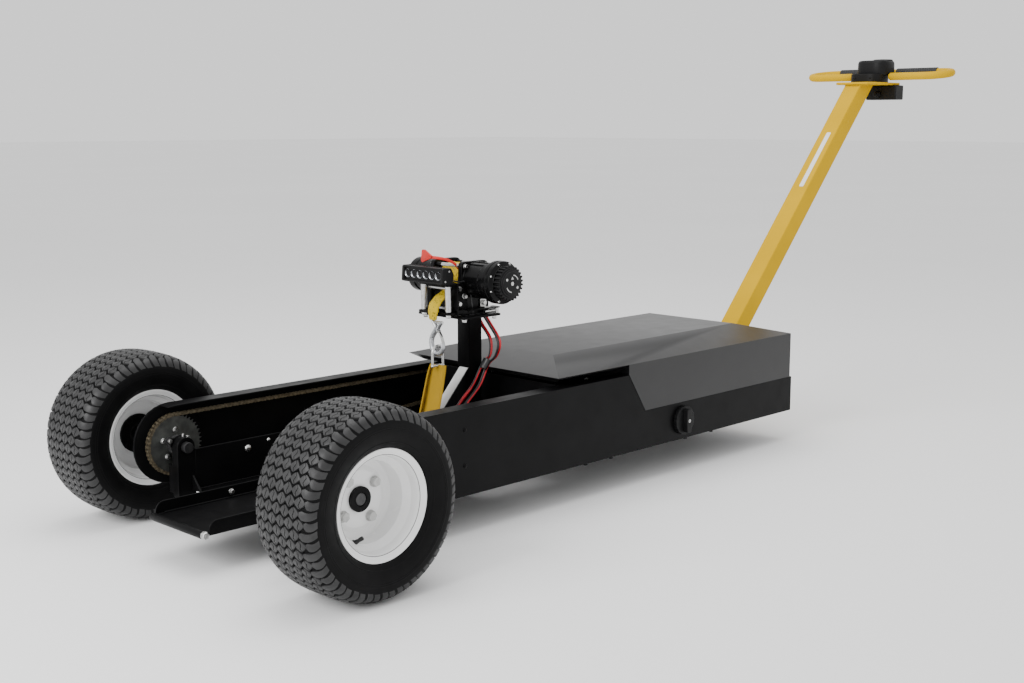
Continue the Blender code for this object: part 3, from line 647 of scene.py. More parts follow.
    def cap_screw(self, at: Point, direction: Point, radius: float, height: float) -> "Shape":
        """A round head with a hexagon socket.

        Args:
            at: where it stands.
            direction: the way it points.
            radius: its radius.
            height: its height.

        Returns:
            This shape.
        """
        place = facing(at, direction)
        profile = [(0.0, 0.0), (radius, 0.0), (radius, height * 0.7), (radius * 0.82, height),
                   (radius * 0.5, height), (radius * 0.46, height * 0.45), (0.0, height * 0.4)]
        return self.lathe(profile, place, 12)

    def dome(self, at: Point, direction: Point, radius: float, height: float) -> "Shape":
        """A low round head.

        Args:
            at: where it stands.
            direction: the way it points.
            radius: its radius.
            height: its height.

        Returns:
            This shape.
        """
        profile = [(0.0, 0.0), (radius, 0.0)]
        for k in range(1, 5):
            t = math.radians(90.0 * k / 5)
            profile.append((radius * math.cos(t), height * math.sin(t)))
        profile.append((0.0, height))
        return self.lathe(profile, facing(at, direction), 16)


class Assembly:
    """A group of the tractor's pieces, made round the CAD frame."""

    def build(self) -> None:
        """Place the group's pieces."""
        raise NotImplementedError

    def place(self, name: str, shape: Shape, finish: Finish, body: Body = Body.CHASSIS,
              replaces: Iterable[str] = (), smooth: float = 38.0, bevel: float = 0.0,
              segments: int = 2, slot: Slot | None = None,
              from_axle: bool = True) -> bpy.types.Object:
        """Make a shape into a finished piece that rides on a body.

        Args:
            name: the piece's name.
            shape: its mesh.
            finish: its surface.
            body: the CAD body it moves with.
            replaces: CAD nodes it stands for.
            smooth: angle in degrees that stays sharp.
            bevel: width of the rounded edges.
            segments: steps of the rounded edges.
            slot: the record's material slot, where it isn't the finish's usual one; not used.
            from_axle: whether the mesh has X from the axle, as parts made here do.

        Returns:
            The new object.
        """
        bm = shape.bm
        if from_axle:
            bmesh.ops.translate(bm, verts=bm.verts, vec=(AXLE_X, 0.0, 0.0))
        bmesh.ops.recalc_face_normals(bm, faces=bm.faces)
        mesh = bpy.data.meshes.new(name)
        bm.to_mesh(mesh)
        bm.free()
        mesh.materials.append(finish.material())
        mesh.shade_smooth()
        mesh.set_sharp_from_angle(angle=math.radians(smooth))
        piece = bpy.data.objects.new(name, mesh)
        bpy.context.scene.collection.objects.link(piece)
        if bevel:
            edge = piece.modifiers.new("edges", "BEVEL")
            edge.width = bevel
            edge.segments = segments
            edge.limit_method = "ANGLE"
            edge.angle_limit = SHARP_EDGE
        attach(piece, body.value)
        nodes = list(replaces)
        if nodes:
            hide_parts(*nodes)
        LOG.info("  %s rides on %s", name, body.value)
        return piece

    def refine(self, node: str, finish: Finish, body: Body = Body.CHASSIS, bevel: float = 0.0012,
               segments: int = 2, smooth: float = 38.0) -> bpy.types.Object:
        """A copy of a CAD node with clean faces and rounded edges, shown in its place.

        Args:
            node: the CAD node.
            finish: its surface.
            body: the CAD body it moves with.
            bevel: width of the rounded edges.
            segments: steps of the rounded edges.
            smooth: angle in degrees that stays sharp.

        Returns:
            The new object.
        """
        shape = Shape()
        bm = shape.bm
        bm.from_mesh(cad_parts[node].data)
        bmesh.ops.remove_doubles(bm, verts=bm.verts, dist=SAME_PLACE)
        bmesh.ops.dissolve_limit(bm, angle_limit=FLAT_FACES, verts=bm.verts, edges=bm.edges)
        return self.place(node + "_skin", shape, finish, body, (node,), smooth, bevel, segments,
                          from_axle=False)


# ---------------------------------------------------------------- drive wheels

class SectionCurve:
    """Half of a tyre's outer section, measured along its length from the crown."""

    def __init__(self, knots: Sequence[Point], count: int = 90) -> None:
        """Sample a smooth curve through knots of (radius, offset).

        Args:
            knots: places the section passes.
            count: number of samples.
        """
        self.points = smooth_path([(r, a, 0.0) for r, a in knots], count)
        self.lengths = [0.0]
        for one, two in zip(self.points, self.points[1:]):
            self.lengths.append(self.lengths[-1] + (two - one).length)

    def at(self, along: float, depth: float) -> tuple[float, float]:
        """The (radius, offset) at a length from the crown, that depth below the surface.

        Args:
            along: length from the crown; negative on the other side.
            depth: distance below the surface.

        Returns:
            Radius and offset from the tyre's middle.
        """
        side = -1.0 if along < 0.0 else 1.0
        want = min(abs(along), self.lengths[-1] - 1e-6)
        k = 0
        while self.lengths[k + 1] < want:
            k += 1
        share = (want - self.lengths[k]) / (self.lengths[k + 1] - self.lengths[k])
        spot = self.points[k].lerp(self.points[k + 1], share)
        run = (self.points[k + 1] - self.points[k]).normalized()
        return spot.x - run.y * depth, side * (spot.y + run.x * depth)


@dataclass
class TurfTyre(Assembly):
    """A turf tyre: carcass, rows of slit blocks, shoulder lugs, ribs and moulding hairs."""

    side: Side
    wheel_y: float = 0.4272
    radius: float = 0.2032
    tread_depth: float = 0.0055
    rows: int = 58
    pitch_across: float = 0.0258
    block_long: float = 0.0124
    block_wide: float = 0.0136
    slit: float = 0.0007
    fade_from: float = 0.06
    fade_to: float = 0.11
    hair: float = 0.005

    def __post_init__(self) -> None:
        """Lay out the outer section from crown to bead."""
        self.curve = SectionCurve([
            (self.radius, 0.0), (0.2028, 0.028), (0.2012, 0.052), (0.1968, 0.072), (0.1888, 0.085),
            (0.177, 0.091), (0.164, 0.0928), (0.15, 0.092), (0.138, 0.0893),
            (0.127, 0.0848), (0.1195, 0.0803), (0.117, 0.0775)])

    def spot(self, angle: float, along: float, depth: float) -> Vector:
        """A place on the tyre, with the angle in radians from +X.

        Args:
            angle: place round the tyre.
            along: length from the crown.
            depth: distance below the surface.

        Returns:
            The place.
        """
        r, a = self.curve.at(along, depth)
        y = self.side.value * self.wheel_y + a
        return Vector((r * math.cos(angle), y, self.radius + r * math.sin(angle)))

    def groove(self, along: float) -> float:
        """Depth of the grooves at a length from the crown.

        Args:
            along: length from the crown.

        Returns:
            The depth.
        """
        t = (abs(along) - self.fade_from) / (self.fade_to - self.fade_from)
        t = min(max(t, 0.0), 1.0)
        return self.tread_depth * (1.0 - t * t * (3.0 - 2.0 * t))

    def carcass(self) -> Shape:
        """The tyre's skin at the bottom of its grooves, closed through the rim.

        Returns:
            The skin's mesh.
        """
        shape = Shape()
        total = self.curve.lengths[-1]
        spots = []
        for k in range(-44, 45):
            along = total * k / 44
            spots.append((along, self.groove(along)))
        steps = 2 * self.rows
        rings = []
        for along, depth in spots:
            rings.append([shape.bm.verts.new(self.spot(FULL_TURN * j / steps, along, depth))
                          for j in range(steps)])
        inner = []
        for r, a in ((0.1165, 0.0738), (0.1024, 0.0722), (0.1008, 0.05), (0.089, 0.0352),
                     (0.089, -0.0352), (0.1008, -0.05), (0.1024, -0.0722), (0.1165, -0.0738)):
            y = self.side.value * self.wheel_y + a
            inner.append([shape.bm.verts.new((r * math.cos(FULL_TURN * j / steps), y,
                                              self.radius + r * math.sin(FULL_TURN * j / steps)))
                          for j in range(steps)])
        rings += inner
        shape.skin(rings, closed=True)
        return shape

    def ribs(self) -> Shape:
        """Fine raised rings on both sidewalls.

        Returns:
            The rings' mesh.
        """
        shape = Shape()
        steps = 120
        for sign in (-1.0, 1.0):
            for middle, half, rise in ((0.15, 0.0009, 0.0007), (0.1225, 0.0008, 0.0006),
                                       (0.1185, 0.0018, 0.0004)):
                rings = []
                for along, depth in ((middle - 1.6 * half, 0.0004), (middle - half * 0.5, -rise),
                                     (middle + half * 0.5, -rise), (middle + 1.6 * half, 0.0004),
                                     (middle, 0.0012)):
                    rings.append([shape.bm.verts.new(
                        self.spot(FULL_TURN * j / steps, sign * along, depth))
                        for j in range(steps)])
                shape.skin(rings, closed=True)
        return shape

    def half_block(self, half: float) -> list[Point]:
        """Outline (round, across) of one half of a block, beside its wavy slit.

        Args:
            half: 1 or -1 for the two halves.

        Returns:
            The outline.
        """
        points = []
        power = 2.0 / 1.28
        for k in range(9):
            t = math.radians(10.0 + 160.0 * k / 8)
            c, s = math.cos(t), math.sin(t)
            points.append((math.copysign(abs(c) ** power, c) * self.block_long,
                           half * abs(s) ** power * self.block_wide))
        for k in range(5):
            u = -0.9 + 1.8 * k / 4
            wave = 0.0024 * math.sin(math.pi * u * 1.5)
            points.append((u * self.block_long, wave + half * self.slit))
        return points

    def raised(self, shape: Shape, angle: float, along: float, outline: list[Point]) -> None:
        """Stand a block with sloped sides on the carcass.

        Args:
            shape: the tread's mesh.
            angle: the block's place round the tyre, in radians.
            along: its place across.
            outline: points (round, across) about that place.
        """
        mid_u = sum(p[0] for p in outline) / len(outline)
        mid_v = sum(p[1] for p in outline) / len(outline)
        rings = []
        for grow, share in ((1.13, 1.12), (1.02, 0.28), (0.97, 0.03), (0.9, 0.0)):
            ring = []
            for u, v in outline:
                uu = mid_u + (u - mid_u) * grow
                vv = mid_v + (v - mid_v) * grow
                deep = self.groove(along + vv) * share
                ring.append(shape.bm.verts.new(
                    self.spot(angle + uu / self.radius, along + vv, deep)))
            rings.append(ring)
        shape.skin(rings)

    def blocks(self) -> Shape:
        """All the tread's slit blocks, in rows set half a pitch apart.

        Returns:
            The blocks' mesh.
        """
        shape = Shape()
        halves = [self.half_block(1.0), self.half_block(-1.0)]
        for row in range(self.rows):
            angle = FULL_TURN * row / self.rows
            count = 5 if row % 2 == 0 else 6
            for k in range(count):
                along = (k - (count - 1) / 2.0) * self.pitch_across
                for outline in halves:
                    self.raised(shape, angle, along, outline)
        return shape

    def lug(self, shape: Shape, angle: float, sign: float, start: float) -> None:
        """One curved shoulder lug that fades into the sidewall.

        Args:
            shape: the mesh it is added to.
            angle: its place round the tyre.
            sign: side of the tyre.
            start: length from the crown where it begins.
        """
        steps = 9
        rings = []
        for k in range(steps):
            t = k / (steps - 1)
            along = start + (self.fade_to + 0.004 - start) * t
            bend = 0.005 * math.sin(math.pi * t * 1.15) - 0.0058 * t * t
            half = 0.0091 - 0.0018 * t
            if k == 0:
                half *= 0.5
            ring = []
            for u, share in ((-half * 1.1, 1.15), (-half, 0.12), (-half * 0.85, 0.0),
                             (half * 0.85, 0.0), (half, 0.12), (half * 1.1, 1.15)):
                deep = self.groove(along) * share + (0.001 if share > 1.0 else 0.0)
                deep += 0.0008 * t ** 6
                ring.append(shape.bm.verts.new(
                    self.spot(angle + (u + bend) / self.radius, sign * along, deep)))
            rings.append(ring)
        shape.skin(rings)

    def lugs(self) -> Shape:
        """The lugs of both shoulders.

        Returns:
            The lugs' mesh.
        """
        shape = Shape()
        for row in range(self.rows):
            angle = FULL_TURN * row / self.rows
            start = 0.0655 if row % 2 == 0 else 0.0775
            for sign in (-1.0, 1.0):
                self.lug(shape, angle, sign, start)
        return shape

    def hairs(self) -> Shape:
        """Moulding hairs on the blocks, kept inside the tyre's own box.

        Returns:
            The hairs' mesh.
        """
        shape = Shape()
        dice = random.Random(7)
        centre = Vector((0.0, self.side.value * self.wheel_y, self.radius))
        for row in range(self.rows):
            for k in range(8):
                angle = FULL_TURN * (row + dice.uniform(-0.4, 0.4)) / self.rows
                along = (k - 3.5) * 0.0225 + dice.uniform(-0.005, 0.005)
                root = self.spot(angle, along, 0.0006)
                out = self.spot(angle, along, -0.01) - root
                lean = Vector((dice.uniform(-0.5, 0.5), dice.uniform(-0.4, 0.4),
                               dice.uniform(-0.5, 0.5)))
                tip = root + (out.normalized() + lean).normalized() * self.hair * dice.uniform(0.6, 1)
                gone = tip - centre
                if gone.z < -self.radius + 0.0002 or gone.x < -self.radius + 0.0002:
                    continue
                across = out.cross(Vector((0.3, 1.0, 0.2))).normalized()
                over = out.cross(across).normalized()
                ring = []
                for j in range(3):
                    t = FULL_TURN * j / 3
                    ring.append(shape.bm.verts.new(
                        root + (across * math.cos(t) + over * math.sin(t)) * 0.00038))
                end = shape.bm.verts.new(tip)
                for j in range(3):
                    shape.bm.faces.new((ring[j], ring[(j + 1) % 3], end))
                shape.bm.faces.new(ring)
        return shape

    def build(self) -> None:
        """Place the tyre's pieces."""
        word, body = self.side.word, self.side.wheel
        # The carcass and ribs take the darker rubber copy, painted shade for the grooves; the blocks and
        # lugs take the lighter copy.
        self.place(word + "_tyre_carcass", self.carcass(), GROOVE_SHADE_RUBBER, body,
                   (word + "_tyre",), smooth=60)
        self.place(word + "_tyre_ribs", self.ribs(), GROOVE_SHADE_RUBBER, body, smooth=50)
        self.place(word + "_tyre_blocks", self.blocks(), TREAD, body, smooth=30)
        self.place(word + "_tyre_lugs", self.lugs(), TREAD, body, smooth=40)
        self.place(word + "_tyre_hairs", self.hairs(), TREAD, body)


@dataclass
class WheelRim(Assembly):
    """A white welded rim with four bolts and a rubber valve."""

    side: Side
    wheel_y: float = 0.4272
    axle_z: float = 0.2032
    flange: float = 0.1167
    half: float = 0.0786
    bolt_circle: float = 0.05
    bolt_turn: float = -54.6
    valve_turn: float = -117.8

    def on(self, radius: float, turn: float, out: float) -> Vector:
        """A place on the wheel: radius, angle in degrees, distance outward from its middle.

        Args:
            radius: distance from the axle.
            turn: angle.
            out: distance outward.

        Returns:
            The place.
        """
        t = math.radians(turn)
        return Vector((radius * math.cos(t), self.side.value * (self.wheel_y + out),
                       self.axle_z + radius * math.sin(t)))

    def section(self) -> list[Point]:
        """Closed section with rolled flange edges and a pressed disc.

        Returns:
            The outline (radius, along).
        """
        f, h = self.flange, self.half
        return rounded([
            (f, h, 0.002), (f, h - 0.0044, 0.001), (0.1018, h - 0.0064, 0.003),
            (0.1003, 0.05, 0.004), (0.0883, 0.035, 0.004), (0.0883, -0.035, 0.004),
            (0.1003, -0.05, 0.004), (0.1018, -h + 0.0064, 0.003), (f, -h + 0.0044, 0.001),
            (f, -h, 0.0016), (f - 0.0034, -h, 0.0016), (0.101, -h + 0.0085, 0.012),
            (0.0968, -0.052, 0.004), (0.0848, -0.037, 0.004), (0.0848, -0.01, 0.006),
            (0.07, -0.006, 0.004), (0.06, -0.0038, 0.004), (0.0225, -0.0038), (0.0225, 0.001),
            (0.059, 0.001, 0.004), (0.069, -0.003, 0.006), (0.0848, -0.003, 0.0075),
            (0.0848, 0.037, 0.004), (0.0968, 0.052, 0.004), (0.101, h - 0.0085, 0.012),
            (f - 0.0034, h, 0.0016)], 7)

    def build(self) -> None:
        """Place the rim, its bolts and its valve."""
        word, body, sign = self.side.word, self.side.wheel, self.side.value
        hub = facing((0.0, sign * self.wheel_y, self.axle_z), (0.0, sign, 0.0))
        rim = Shape().lathe(self.section(), hub, 96, closed=True)
        self.place(word + "_rim_shell", rim, WHITE_PAINT, body, (word + "_rim",),
                   smooth=60)
        weld = Shape().lathe(rounded([(0.0846, -0.0036), (0.0806, -0.0034, 0.001),
                                      (0.0846, 0.0012, 0.001)], 3), hub, 96, closed=True)
        self.place(word + "_rim_weld", weld, WHITE_PAINT, body, smooth=70)
        bolts = Shape()
        for k in range(4):
            at = self.on(self.bolt_circle, self.bolt_turn + 90.0 * k, 0.001)
            bolts.hex_bolt(at, (0.0, sign, 0.0), 0.0185, 0.0095, 12.0 * k, washer=0.0122)
        # The bolts' grey is darker than their whitish paint: painted shade.
        self.place(word + "_rim_bolts", bolts, GREY_PAINT_AND_BOLT_SHADE, body, bevel=0.0004)
        base = self.on(0.0868, self.valve_turn, 0.035)
        tip = self.on(0.0735, self.valve_turn + 3.0, 0.047)
        along = tip - base
        stem = [(0.0, -0.002), (0.0072, -0.001), (0.0072, 0.0016), (0.005, 0.0036), (0.0044, 0.009),
                (0.0036, 0.011), (0.0036, 0.0125), (0.0044, 0.013), (0.0044, 0.02),
                (0.0036, 0.0212), (0.0, 0.0212)]
        valve = Shape().lathe(stem, facing(base, along), 20)
        self.place(word + "_valve", valve, GRIP_RUBBER, body)


@dataclass
class LiveAxle(Assembly):
    """Shaft with hub, flange, collars and toothed sprocket."""

    side: Side
    wheel_y: float = 0.4272
    axle_z: float = 0.2032
    shaft: float = 0.0127
    sprocket_y: float = 0.255
    bolt_circle: float = 0.0435
    bolt_turn: float = -54.6
    sprocket_bolts: float = 0.0345
    disc_half: float = 0.0021
    teeth: int = 44
    bearing_y: float = 0.206

    def sprocket(self) -> Shape:
        """Toothed disc.

        Returns:
            The disc's mesh.
        """
        outline = []
        for k in range(self.teeth):
            for share, radius in ((-0.36, 0.0664), (-0.16, 0.069), (-0.07, 0.0728),
                                  (0.07, 0.0728), (0.16, 0.069), (0.36, 0.0664)):
                t = FULL_TURN * (k + 0.5 + share) / self.teeth
                outline.append((radius * math.cos(t), self.axle_z + radius * math.sin(t)))
        sign = self.side.value
        return Shape().prism(outline, "y", sign * (self.sprocket_y - self.disc_half),
                     sign * (self.sprocket_y + self.disc_half))

    def build(self) -> None:
        """Place the axle's pieces."""
        word, body, sign = self.side.word, self.side.wheel, self.side.value
        out = facing((0.0, sign * self.wheel_y, self.axle_z), (0.0, sign, 0.0))
        ring = [(0.0, -0.004), (0.022, -0.004), (0.022, 0.0012), (0.0262, 0.0014),
                (0.0266, 0.0082), (0.0256, 0.009), (0.0148, 0.009), (0.0142, 0.007), (0.0, 0.007)]
        hub = Shape().lathe(ring, out, 48)
        plate = [(0.0, -0.011), (0.0474, -0.011), (0.048, -0.0104), (0.048, -0.0049),
                 (0.0474, -0.0043), (0.0, -0.0043)]
        hub.lathe(plate, out, 48)
        sleeve = [(0.0, -0.06), (0.0212, -0.06), (0.022, -0.0592), (0.022, -0.012),
                  (0.024, -0.0108), (0.0, -0.0108)]
        hub.lathe(sleeve, out, 36)
        for k in range(4):
            t = math.radians(self.bolt_turn + 90.0 * k)
            at = (self.bolt_circle * math.cos(t), sign * (self.wheel_y - 0.011),
                  self.axle_z + self.bolt_circle * math.sin(t))
            hub.hex_bolt(at, (0.0, -sign, 0.0), 0.013, 0.005)
        self.place(word + "_hub", hub, POWDER, body, (word + "_axle",), bevel=0.0003)
        inner = self.bearing_y - 0.0125 - self.wheel_y
        rod = Shape().rod(self.shaft, 0.0088 - inner, out @ Matrix.Translation((0, 0, inner)), 36)
        self.place(word + "_shaft", rod, DARK_STEEL, body)
        self.place(word + "_sprocket", self.sprocket(), SPROCKET_STEEL, body,
                   smooth=25, bevel=0.0003, segments=1)
        disc = self.sprocket_y - self.wheel_y
        boss = [(0.0, disc - 0.0108), (0.0205, disc - 0.0108), (0.023, disc - 0.009),
                (0.023, disc - 0.0022), (0.0, disc - 0.0022)]
        collar = Shape().lathe(boss, out, 36)
        boss = [(0.0, disc + 0.0022), (0.024, disc + 0.0022), (0.024, disc + 0.0112),
                (0.023, disc + 0.012), (0.0, disc + 0.012)]
        collar.lathe(boss, out, 36)
        self.place(word + "_sprocket_hub", collar, DARK_STEEL, body)
        bolts = Shape()
        for k in range(5):
            t = math.radians(159.0 + 72.0 * k)
            at = (self.sprocket_bolts * math.cos(t), sign * (self.sprocket_y - self.disc_half),
                  self.axle_z + self.sprocket_bolts * math.sin(t))
            bolts.hex_bolt(at, (0.0, -sign, 0.0), 0.01, 0.0042, 20.0 * k, washer=0.0068)
            at = (at[0], sign * (self.sprocket_y + self.disc_half), at[2])
            bolts.hex_bolt(at, (0.0, sign, 0.0), 0.01, 0.004)
        self.place(word + "_sprocket_bolts", bolts, ZINC, body)


@dataclass
class RollerChain(Assembly):
    """Roller chain from the wheel sprocket to the drive unit, link by link."""

    side: Side
    front: tuple[float, float] = (0.0, 0.2032)
    back: tuple[float, float] = (0.96, 0.2385)
    front_radius: float = 0.07105
    back_radius: float = 0.03625
    track_y: float = 0.255
    teeth: int = 44

    def route(self) -> tuple[list[Vector], float]:
        """The loop as fine points in (x, z), and its length.

        Returns:
            The points, closed, and the length.
        """
        lean = math.degrees(math.atan2(self.back[1] - self.front[1], self.back[0]))
        points = arc(self.front, self.front_radius, 93 + lean, 267 + lean, 90)
        points += arc(self.back, self.back_radius, 267 + lean, 453 + lean, 60)
        loop = [Vector(p) for p in points]
        loop.append(loop[0])
        length = sum((b - a).length for a, b in zip(loop, loop[1:]))
        return loop, length

    def pins(self) -> list[Vector]:
        """Places of the chain's pins, evenly spaced round the loop.

        Returns:
            The places in (x, z).
        """
        loop, length = self.route()
        wanted = 2 * round(length / (FULL_TURN * self.front_radius / self.teeth) / 2.0)
        step = length / wanted
        pins, run, k = [], 0.0, 0
        for n in range(wanted):
            while run + (loop[k + 1] - loop[k]).length < n * step:
                run += (loop[k + 1] - loop[k]).length
                k += 1
            share = (n * step - run) / (loop[k + 1] - loop[k]).length
            pins.append(loop[k].lerp(loop[k + 1], share))
        return pins

    def link_plate(self, shape: Shape, one: Vector, two: Vector, low: float, high: float) -> None:
        """A waisted plate between two pins.

        Args:
            shape: the mesh it is added to.
            one: first pin.
            two: second pin.
            low: near face.
            high: far face.
        """
        run = (two - one).normalized()
        up = Vector((-run.y, run.x))
        outline = []
        for centre, start in ((two, -90.0), (one, 90.0)):
            for k in range(5):
                t = math.radians(start + 180.0 * k / 4)
                outline.append(tuple(centre + run * 0.0041 * math.cos(t)
                                     + up * 0.0041 * math.sin(t)))
            middle = (one + two) / 2.0 + up * (0.0031 if start < 0.0 else -0.0031)
            outline.append(tuple(middle))
        shape.prism(outline, "y", low, high)

    def build(self) -> None:
        """Place the chain."""
        plates, rollers = Shape(), Shape()
        pins = self.pins()
        y = self.side.value * self.track_y
        for k, pin in enumerate(pins):
            after = pins[(k + 1) % len(pins)]
            reach = 0.0036 if k % 2 else 0.005
            self.link_plate(plates, pin, after, y - reach - 0.001, y - reach)
            self.link_plate(plates, pin, after, y + reach, y + reach + 0.001)
            at = facing((pin.x, y - 0.0033, pin.y), (0.0, 1.0, 0.0))
            rollers.rod(0.0026, 0.0066, at, 8, 0.0002)
            at = facing((pin.x, y - 0.0064, pin.y), (0.0, 1.0, 0.0))
            rollers.rod(0.0014, 0.0128, at, 6, 0.0002)
        word = self.side.word
        self.place(word + "_chain_plates", plates, CHAIN_STEEL,
                   replaces=(word + "_chain",), smooth=30)
        self.place(word + "_chain_rollers", rollers, CHAIN_STEEL)


# ---------------------------------------------------------------- chassis

@dataclass
class Chassis(Assembly):
    """Folded sheet chassis: walls, bay plates, tray, floor, bearings and fasteners."""

    half_width: float = 0.28
    plate_y: float = 0.206
    tray_half: float = 0.104
    tray_floor: float = 0.092
    tray_front: float = -0.125
    tray_back: float = 0.64
    axle_z: float = 0.2032

    def skins(self) -> None:
        """Show the folded sheets with rounded edges."""
        for side in Side:
            word = side.word
            self.refine(word + "_side_wall", POWDER, bevel=0.0022, segments=3)
            self.refine(word + "_inner_plate", POWDER, bevel=0.0012)
            self.refine(word + "_bearing_block", POWDER, bevel=0.0012)
            self.refine(word + "_floor_strip", POWDER, bevel=0.0008)
        self.refine("nose_wheel_tray", POWDER, bevel=0.0012)
        self.refine("bulkhead", POWDER, bevel=0.0008)
        self.refine("floor_pan", POWDER, bevel=0.0012)
        self.refine("rear_panel", POWDER, bevel=0.0010)

    def weld(self, path: Sequence[Point], size: float, pitch: float = 0.004) -> Shape:
        """A rippled fillet weld along a path.

        Args:
            path: its two ends.
            size: leg of the fillet.
            pitch: length of one ripple.

        Returns:
            The weld's mesh.
        """
        start, end = Vector(path[0]), Vector(path[1])
        count = max(8, int((end - start).length / pitch) * 3)
        line = [start.lerp(end, k / count) for k in range(count + 1)]

        def swell(share: float) -> tuple[float, float]:
            """Half width and half thickness of the ripple at a share of the length."""
            ripple = abs(math.sin(math.pi * share * count / 3.0))
            return size * (0.72 + 0.28 * ripple), size * (0.66 + 0.24 * ripple)

        return Shape().sweep(line, swell, sides=8, up=(0.0, 0.7, 0.7))

    def tray_details(self) -> None:
        """Lip roller with its bolt, welds inside the flanges and the flange bolt."""
        low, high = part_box("tray_lip_roller")
        x = (low.x + high.x) / 2.0 - AXLE_X
        z = (low.z + high.z) / 2.0
        radius = (high.z - low.z) / 2.0
        roller = Shape()
        profile = rounded([(0.0, low.y), (radius, low.y, 0.0015), (radius, high.y, 0.0015),
                           (0.0, high.y)], 3)
        roller.lathe(profile, facing((x, 0.0, z), (0.0, 1.0, 0.0)), 32)
        self.place("tray_lip_bar", roller, POWDER, replaces=("tray_lip_roller",))
        bolts = Shape()
        bolts.hex_bolt((x, low.y, z), (0.0, -1.0, 0.0), 0.015, 0.0075, 10.0, washer=0.009)
        for x_at, z_at in ((0.052, 0.106), (0.42, 0.106)):
            for sign in (-1.0, 1.0):
                at = (x_at, sign * self.tray_half, z_at)
                bolts.hex_bolt(at, (0.0, -sign, 0.0), 0.011, 0.006, 14.0, washer=0.0072)
        self.place("tray_bolts", bolts, ZINC, bevel=0.0003)
        for side in Side:
            y = side.value * (self.tray_half - 0.0012)
            seam = self.weld([(self.tray_front, y, self.tray_floor + 0.001),
                              (self.tray_back, y, self.tray_floor + 0.001)], 0.003)
            self.place(side.word + "_tray_weld", seam, POWDER, smooth=70)

    def fasteners(self) -> None:
        """Screws and bolts of the bay plates, walls and floor."""
        heads = Shape()
        for side in Side:
            sign = side.value
            for x, z, radius, height in ((0.172, 0.171, 0.0092, 0.006),
                                         (0.233, 0.182, 0.0052, 0.0042),
                                         (0.56, 0.171, 0.0052, 0.0042)):
                heads.dome((x, sign * self.plate_y, z), (0.0, -sign, 0.0), radius, height)
            for x in (0.036, 0.3, 0.6):
                heads.hex_bolt((x, sign * 0.245, 0.096), (0.0, 0.0, 1.0), 0.011, 0.0055, 10.0,
                               washer=0.008)
        self.place("plate_screws", heads, ZINC)
        dark = Shape()
        for side in Side:
            sign = side.value
            for x, z in ((0.438, 0.165), (0.438, 0.25)):
                dark.dome((x, sign * self.half_width, z), (0.0, sign, 0.0), 0.0055, 0.0032)
            for x in (0.881, 0.981, 1.3, 1.42):
                dark.hex_bolt((x, sign * 0.262, 0.0918), (0.0, 0.0, -1.0), 0.01, 0.0085)
        self.place("wall_screws", dark, POWDER)

    def bearings(self) -> None:
        """Flange bearings outside the blocks and gussets below them."""
        for side in Side:
            sign = side.value
            out = (0.0, sign, 0.0)
            face = self.plate_y + 0.0243
            at = facing((0.0, sign * face, self.axle_z), out)
            profile = rounded([(0.0145, 0.0), (0.0255, 0.0), (0.0255, 0.005, 0.001),
                               (0.0225, 0.006, 0.001), (0.0225, 0.012, 0.001),
                               (0.0145, 0.012)], 2)
            ring = Shape().lathe(profile, at, 40, closed=True)
            for turn in (152.0, -28.0):
                t = math.radians(turn)
                centre = (0.033 * math.cos(t), 0.033 * math.sin(t) + self.axle_z)
                outline = arc(centre, 0.0085, turn - 95.0, turn + 95.0, 10)
                outline += [(0.02 * math.cos(t + 0.75), 0.02 * math.sin(t + 0.75) + self.axle_z),
                            (0.02 * math.cos(t - 0.75), 0.02 * math.sin(t - 0.75) + self.axle_z)]
                ring.prism(outline, "y", sign * face, sign * (face + 0.0045))
            self.place(side.word + "_bearing_flange", ring, DARK_STEEL, smooth=30)
            bolts = Shape()
            for turn in (152.0, -28.0):
                t = math.radians(turn)
                at_bolt = (0.033 * math.cos(t), sign * (face + 0.0045),
                           self.axle_z + 0.033 * math.sin(t))
                bolts.hex_bolt(at_bolt, out, 0.009, 0.005, 8.0, washer=0.0062)
                at_bolt = (at_bolt[0], sign * face, at_bolt[2])
                bolts.hex_bolt(at_bolt, (0.0, -sign, 0.0), 0.009, 0.0075, 8.0)
            bolts.rod(0.0028, 0.007, facing((0.0, sign * (self.plate_y + 0.012), self.axle_z + 0.0232),
                                             (0.0, 0.0, 1.0)), 12)
            self.place(side.word + "_bearing_bolts", bolts, ZINC)
            gusset = Shape()
            low, high = sorted((sign * self.plate_y, sign * (self.plate_y + 0.04)))
            gusset.block((-0.0235, low, 0.093), (-0.0195, high, 0.16))
            outline = [(sign * self.plate_y, 0.0975), (sign * (self.plate_y - 0.034), 0.0975),
                       (sign * (self.plate_y - 0.03), 0.103), (sign * self.plate_y, 0.133)]
            gusset.prism(outline, "x", 0.0135, 0.0185)
            self.place(side.word + "_gussets", gusset, POWDER, bevel=0.0008)
            seam = self.weld([(0.03, sign * (self.plate_y - 0.0012), 0.097),
                              (0.69, sign * (self.plate_y - 0.0012), 0.097)], 0.0026)
            self.place(side.word + "_plate_weld", seam, POWDER, smooth=70)

    def build(self) -> None:
        """Place every chassis piece."""
        self.skins()
        self.tray_details()
        self.fasteners()
        self.bearings()


